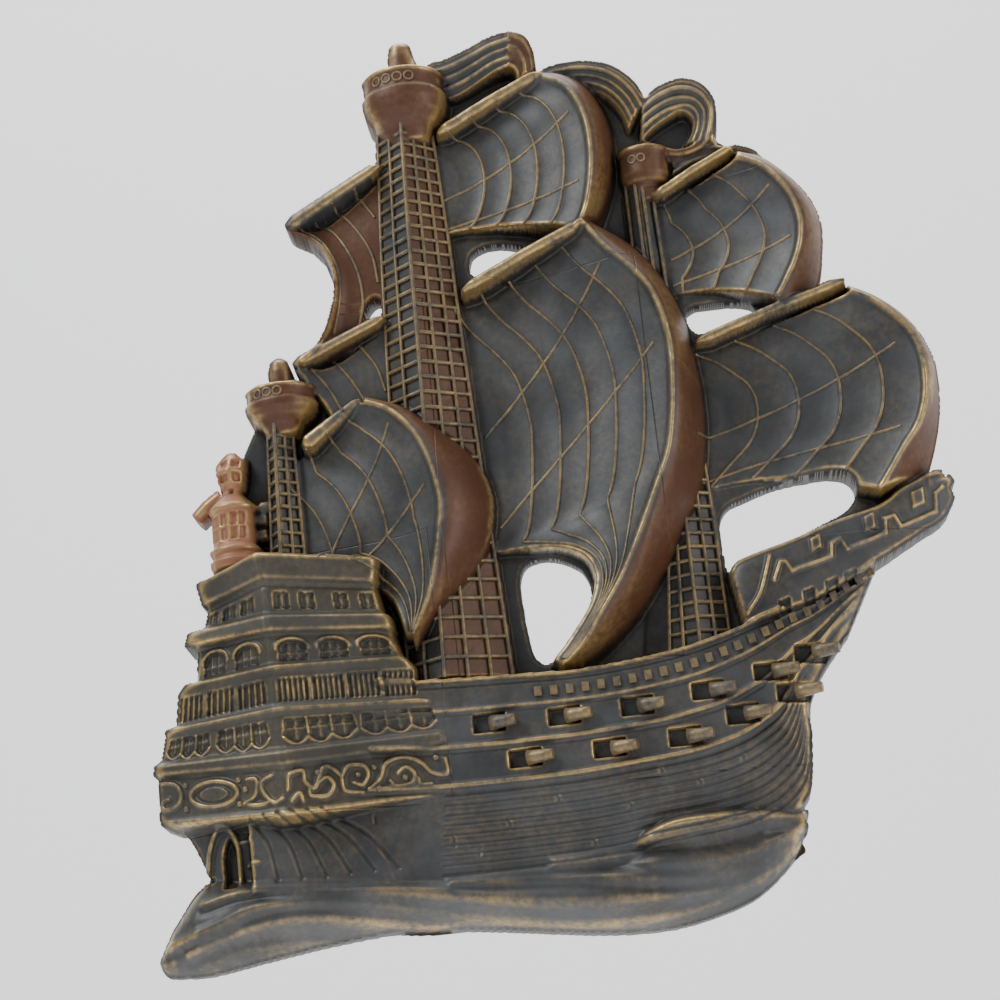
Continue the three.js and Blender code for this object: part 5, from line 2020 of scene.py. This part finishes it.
@dataclass(frozen=True)
class Patina:
    """A dark bronze patina with gold rubbed on what stands proud, and painted shade that darkens its hollows and
    walls.

    Attributes:
        name: Name of the material.
        rub: How strongly gold takes to the edges.
        dry: How much gold is brushed over everything.
        plain_edge: Edge value for pieces without their own, or none.
    """

    name: str
    rub: float = 1.0
    dry: float = 0.08
    plain_edge: float | None = None
    slate: tuple[float, float, float] = (0.030, 0.032, 0.034)
    shade_black: tuple[float, float, float] = (0.006, 0.006, 0.006)
    copper: tuple[float, float, float] = (0.085, 0.031, 0.014)
    salmon: tuple[float, float, float] = (0.32, 0.135, 0.075)
    olive: tuple[float, float, float] = (0.055, 0.046, 0.026)
    gold: tuple[float, float, float] = (0.52, 0.36, 0.15)

    def material(self) -> bpy.types.Material:
        """The material, made on first use."""
        known = bpy.data.materials.get(self.name)
        if known:
            return known
        material = bpy.data.materials.new(self.name)
        material.use_nodes = True
        nodes, link = material.node_tree.nodes, material.node_tree.links.new
        shader = nodes["Principled BSDF"]

        def attribute(name: str) -> bpy.types.NodeSocket:
            node = nodes.new("ShaderNodeAttribute")
            node.attribute_name = name
            return node.outputs["Fac"]

        def group(tree: bpy.types.NodeTree, **values: object) -> bpy.types.Node:
            node = nodes.new("ShaderNodeGroup")
            node.node_tree = tree
            for name, value in values.items():
                if isinstance(value, (int, float)):
                    node.inputs[name].default_value = value
                else:
                    link(value, node.inputs[name])
            return node

        def mix(a: object, b: object, share: object) -> bpy.types.NodeSocket:
            node = nodes.new("ShaderNodeMix")
            node.data_type = "RGBA"
            for socket, value in ((node.inputs["A"], a), (node.inputs["B"], b)):
                if isinstance(value, tuple):
                    socket.default_value = (*value, 1.0)
                else:
                    link(value, socket)
            link(share, node.inputs["Factor"])
            return node.outputs["Result"]

        def blend(start: float, end: float, share: bpy.types.NodeSocket) -> bpy.types.NodeSocket:
            node = nodes.new("ShaderNodeMapRange")
            node.inputs["To Min"].default_value = start
            node.inputs["To Max"].default_value = end
            link(share, node.inputs["Value"])
            return node.outputs["Result"]

        mottle = group(Groups.mottle(), Scale=38.0)
        colour = mix(self.slate, tuple(1.9 * c for c in self.slate), mottle.outputs["Mask"])
        if self.plain_edge is None:
            for tint, shade in (
                (Tint.COPPER, self.copper), (Tint.SALMON, self.salmon), (Tint.OLIVE, self.olive)
            ):
                colour = mix(colour, shade, attribute(tint.name.lower()))
            # Painted shade: the hollow mask darkens recesses, creases and walls towards black.
            colour = mix(colour, self.shade_black, attribute("hollow"))
            rubbed = group(Groups.rub(), Edge=attribute("edge"), Amount=self.rub, Dry=self.dry)
        else:
            rubbed = group(Groups.rub(), Edge=self.plain_edge, Amount=self.rub, Dry=self.dry)
        mask = rubbed.outputs["Mask"]
        link(mix(colour, self.gold, mask), shader.inputs["Base Color"])
        link(blend(0.15, 0.85, mask), shader.inputs["Metallic"])
        link(blend(0.47, 0.33, mask), shader.inputs["Roughness"])
        grain = group(Groups.mottle(), Scale=900.0, Detail=2.0, Low=0.2, High=0.8)
        bump = nodes.new("ShaderNodeBump")
        bump.inputs["Strength"].default_value = 0.12
        bump.inputs["Distance"].default_value = 0.0002
        link(grain.outputs["Mask"], bump.inputs["Height"])
        link(bump.outputs["Normal"], shader.inputs["Normal"])
        return material


# ---- Stage --------------------------------------------------------------------------------


@dataclass
class Stage:
    """The pale studio, its lights and the camera."""

    distance: float = 0.96
    pitch: float = 17.5
    yaw: float = 3.0
    roll: float = 6.0
    target: tuple[float, float, float] = (0.0, -0.012, 0.0)
    lens: float = 93.6

    def camera(self) -> None:
        """Stand the camera a little below and to the right of the plaque."""
        p, y, r = (math.radians(a) for a in (self.pitch, self.yaw, self.roll))
        ahead = Vector((-math.sin(y) * math.cos(p), math.cos(y) * math.cos(p), math.sin(p)))
        right = ahead.cross(Vector((0, 0, 1))).normalized()
        up = right.cross(ahead)
        tilted_up = up * math.cos(r) + right * math.sin(r)
        tilted_right = right * math.cos(r) - up * math.sin(r)
        lens = bpy.data.cameras.new("camera")
        lens.lens = self.lens
        lens.sensor_width = 36.0
        seat = bpy.data.objects.new("camera", lens)
        axes = Matrix((tilted_right, tilted_up, -ahead)).transposed().to_4x4()
        seat.matrix_world = Matrix.Translation(Vector(self.target) - ahead * self.distance) @ axes
        bpy.context.collection.objects.link(seat)
        bpy.context.scene.camera = seat

    @staticmethod
    def light(
        name: str, place: Sequence[float], power: float, size: float, colour: Sequence[float]
    ) -> None:
        """One soft square light that looks at the plaque."""
        lamp = bpy.data.lights.new(name, "AREA")
        lamp.energy = power
        lamp.size = size
        lamp.color = colour
        holder = bpy.data.objects.new(name, lamp)
        holder.location = place
        holder.rotation_euler = (-Vector(place)).to_track_quat("-Z", "Y").to_euler()
        bpy.context.collection.objects.link(holder)

    def build(self) -> None:
        """Build the backdrop, the lights and the camera."""
        mesh = bpy.data.meshes.new("backdrop")
        form = bmesh.new()
        wide, low, far = 6.0, -1.6, 2.2
        profile = [
            (-5.0, low), (far - 0.8, low), (far - 0.35, low + 0.1), (far - 0.1, low + 0.35),
            (far, low + 0.8), (far, 5.0)
        ]
        rows = [[form.verts.new((side, y, z)) for y, z in profile] for side in (-wide, wide)]
        for k in range(len(profile) - 1):
            face = form.faces.new((rows[0][k], rows[1][k], rows[1][k + 1], rows[0][k + 1]))
            face.smooth = True
        form.to_mesh(mesh)
        form.free()
        pale = bpy.data.materials.new("pale_backdrop")
        pale.use_nodes = True
        shader = pale.node_tree.nodes["Principled BSDF"]
        shader.inputs["Base Color"].default_value = (0.9, 0.9, 0.9, 1)
        shader.inputs["Roughness"].default_value = 0.9
        shader.inputs["Emission Color"].default_value = (1, 1, 1, 1)
        shader.inputs["Emission Strength"].default_value = 0.42
        mesh.materials.append(pale)
        backdrop = bpy.data.objects.new("backdrop", mesh)
        bpy.context.collection.objects.link(backdrop)
        world = bpy.data.worlds.new("studio")
        world.use_nodes = True
        world.node_tree.nodes["Background"].inputs["Color"].default_value = (0.95, 0.97, 1.0, 1)
        world.node_tree.nodes["Background"].inputs["Strength"].default_value = 0.4
        bpy.context.scene.world = world
        self.light("key", (-1.3, -1.1, 1.5), 34, 0.9, (0.93, 0.97, 1.0))
        self.light("side", (1.6, -1.0, 0.2), 12, 0.8, (1.0, 0.93, 0.86))
        self.light("backdrop_wash", (0.0, 0.5, 3.0), 120, 3.0, (1, 1, 1))
        self.camera()


# ---- The whole ----------------------------------------------------------------------------


def dress(piece: bpy.types.Object) -> None:
    """Fix a finished piece to the frame."""
    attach(piece, "root")
    log.info("%s: %d faces", piece.name, len(piece.data.polygons))


def work_up() -> tuple[Canvas, list[Ribs], list[StudRow]]:
    """Work the whole relief up on one canvas.

    Returns:
        The canvas, the fine lines and the small solids that stand on it.
    """
    low, high = CAD_BOX
    canvas = Canvas(
        (low.x / MM - GRID_MARGIN, low.z / MM - GRID_MARGIN), (
            high.x / MM + GRID_MARGIN, high.z / MM + GRID_MARGIN
        ), GRID_STEP
    )
    web, swell, hull, forecastle = Web(), Swell(), Hull(), Forecastle()
    castle, lantern, far, yards = SternCastle(), Lantern(), FarSails(), Yards()
    web.lay(canvas)
    for part in (
        swell, hull, forecastle, castle, lantern, far, yards, *SHROUDS, *NESTS, *SAILS.values(), *PENNANTS
    ):
        part.lay(canvas)
    castle.counter(canvas)
    swell.bow_wave(canvas)
    canvas.soften(0.45)
    swell.waves(canvas)
    canvas.settle(0.9)
    for part in (hull, forecastle, castle, lantern, far, *SAILS.values()):
        part.details(canvas)
    canvas.settle(0.28)
    web.pierce(canvas)

    ropes, seams, rings = Ribs("rigging", 0.8), Ribs("sail_seams", 0.62), Ribs("nest_rings", 0.42)
    for shroud in SHROUDS:
        ropes.add(*shroud.lines())
    for sail in (*SAILS.values(), far):
        seams.add(*sail.seam_lines(canvas))
    for nest in NESTS:
        rings.add(*nest.ring_lines())
    return canvas, [ropes, seams, rings], [hull.guns(canvas), hull.dentils(canvas), castle.beads(canvas)]


def patina_and_shade_marks(canvas: Canvas) -> dict[str, Array]:
    """The fields that the finish reads.

    Args:
        canvas: The finished canvas.

    Returns:
        Rubbed edges, painted shade in the hollows, and tints, each from 0 to 1.
    """
    depth = canvas.depth
    fine = depth - canvas.blurred(depth, 0.7)
    broad = depth - canvas.blurred(depth, 2.4)
    inner = smoothstep(*RIM_RANGE, canvas.blurred((depth > 0.5).astype(float), 0.9))
    marks = {
        "edge": inner * smoothstep(*EDGE_RANGE, fine + 0.07 * broad),
        # Painted shade: darkens where the surface sinks below its blurred surroundings, in recesses and creases.
        "hollow": PAINTED_SHADE_SHARE * smoothstep(*PAINTED_SHADE_RANGE, -broad - 0.6 * fine),
    }
    for tint in (Tint.COPPER, Tint.SALMON, Tint.OLIVE):
        marks[tint.name.lower()] = np.clip(canvas.tints[tint.value], 0.0, 1.0)
    return marks


def main() -> None:
    """Build the plaque and its stage."""
    logging.basicConfig(level=logging.INFO, format="%(message)s")
    canvas, ribs, studs = work_up()
    # The body's material carries the rubbed patina and the painted shade in its hollows.
    body = Body(canvas, Patina("rubbed_patina_and_shade"))
    pieces = body.build(patina_and_shade_marks(canvas))
    for piece in pieces:
        dress(piece)
        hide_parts(NODE)
    line_finish = Patina("rubbed_lines", plain_edge=0.42)
    for rib in ribs:
        dress(rib.build(line_finish))
    for row in studs:
        dress(row.build(line_finish))
    Stage().build()


if __name__ == "__main__":
    main()
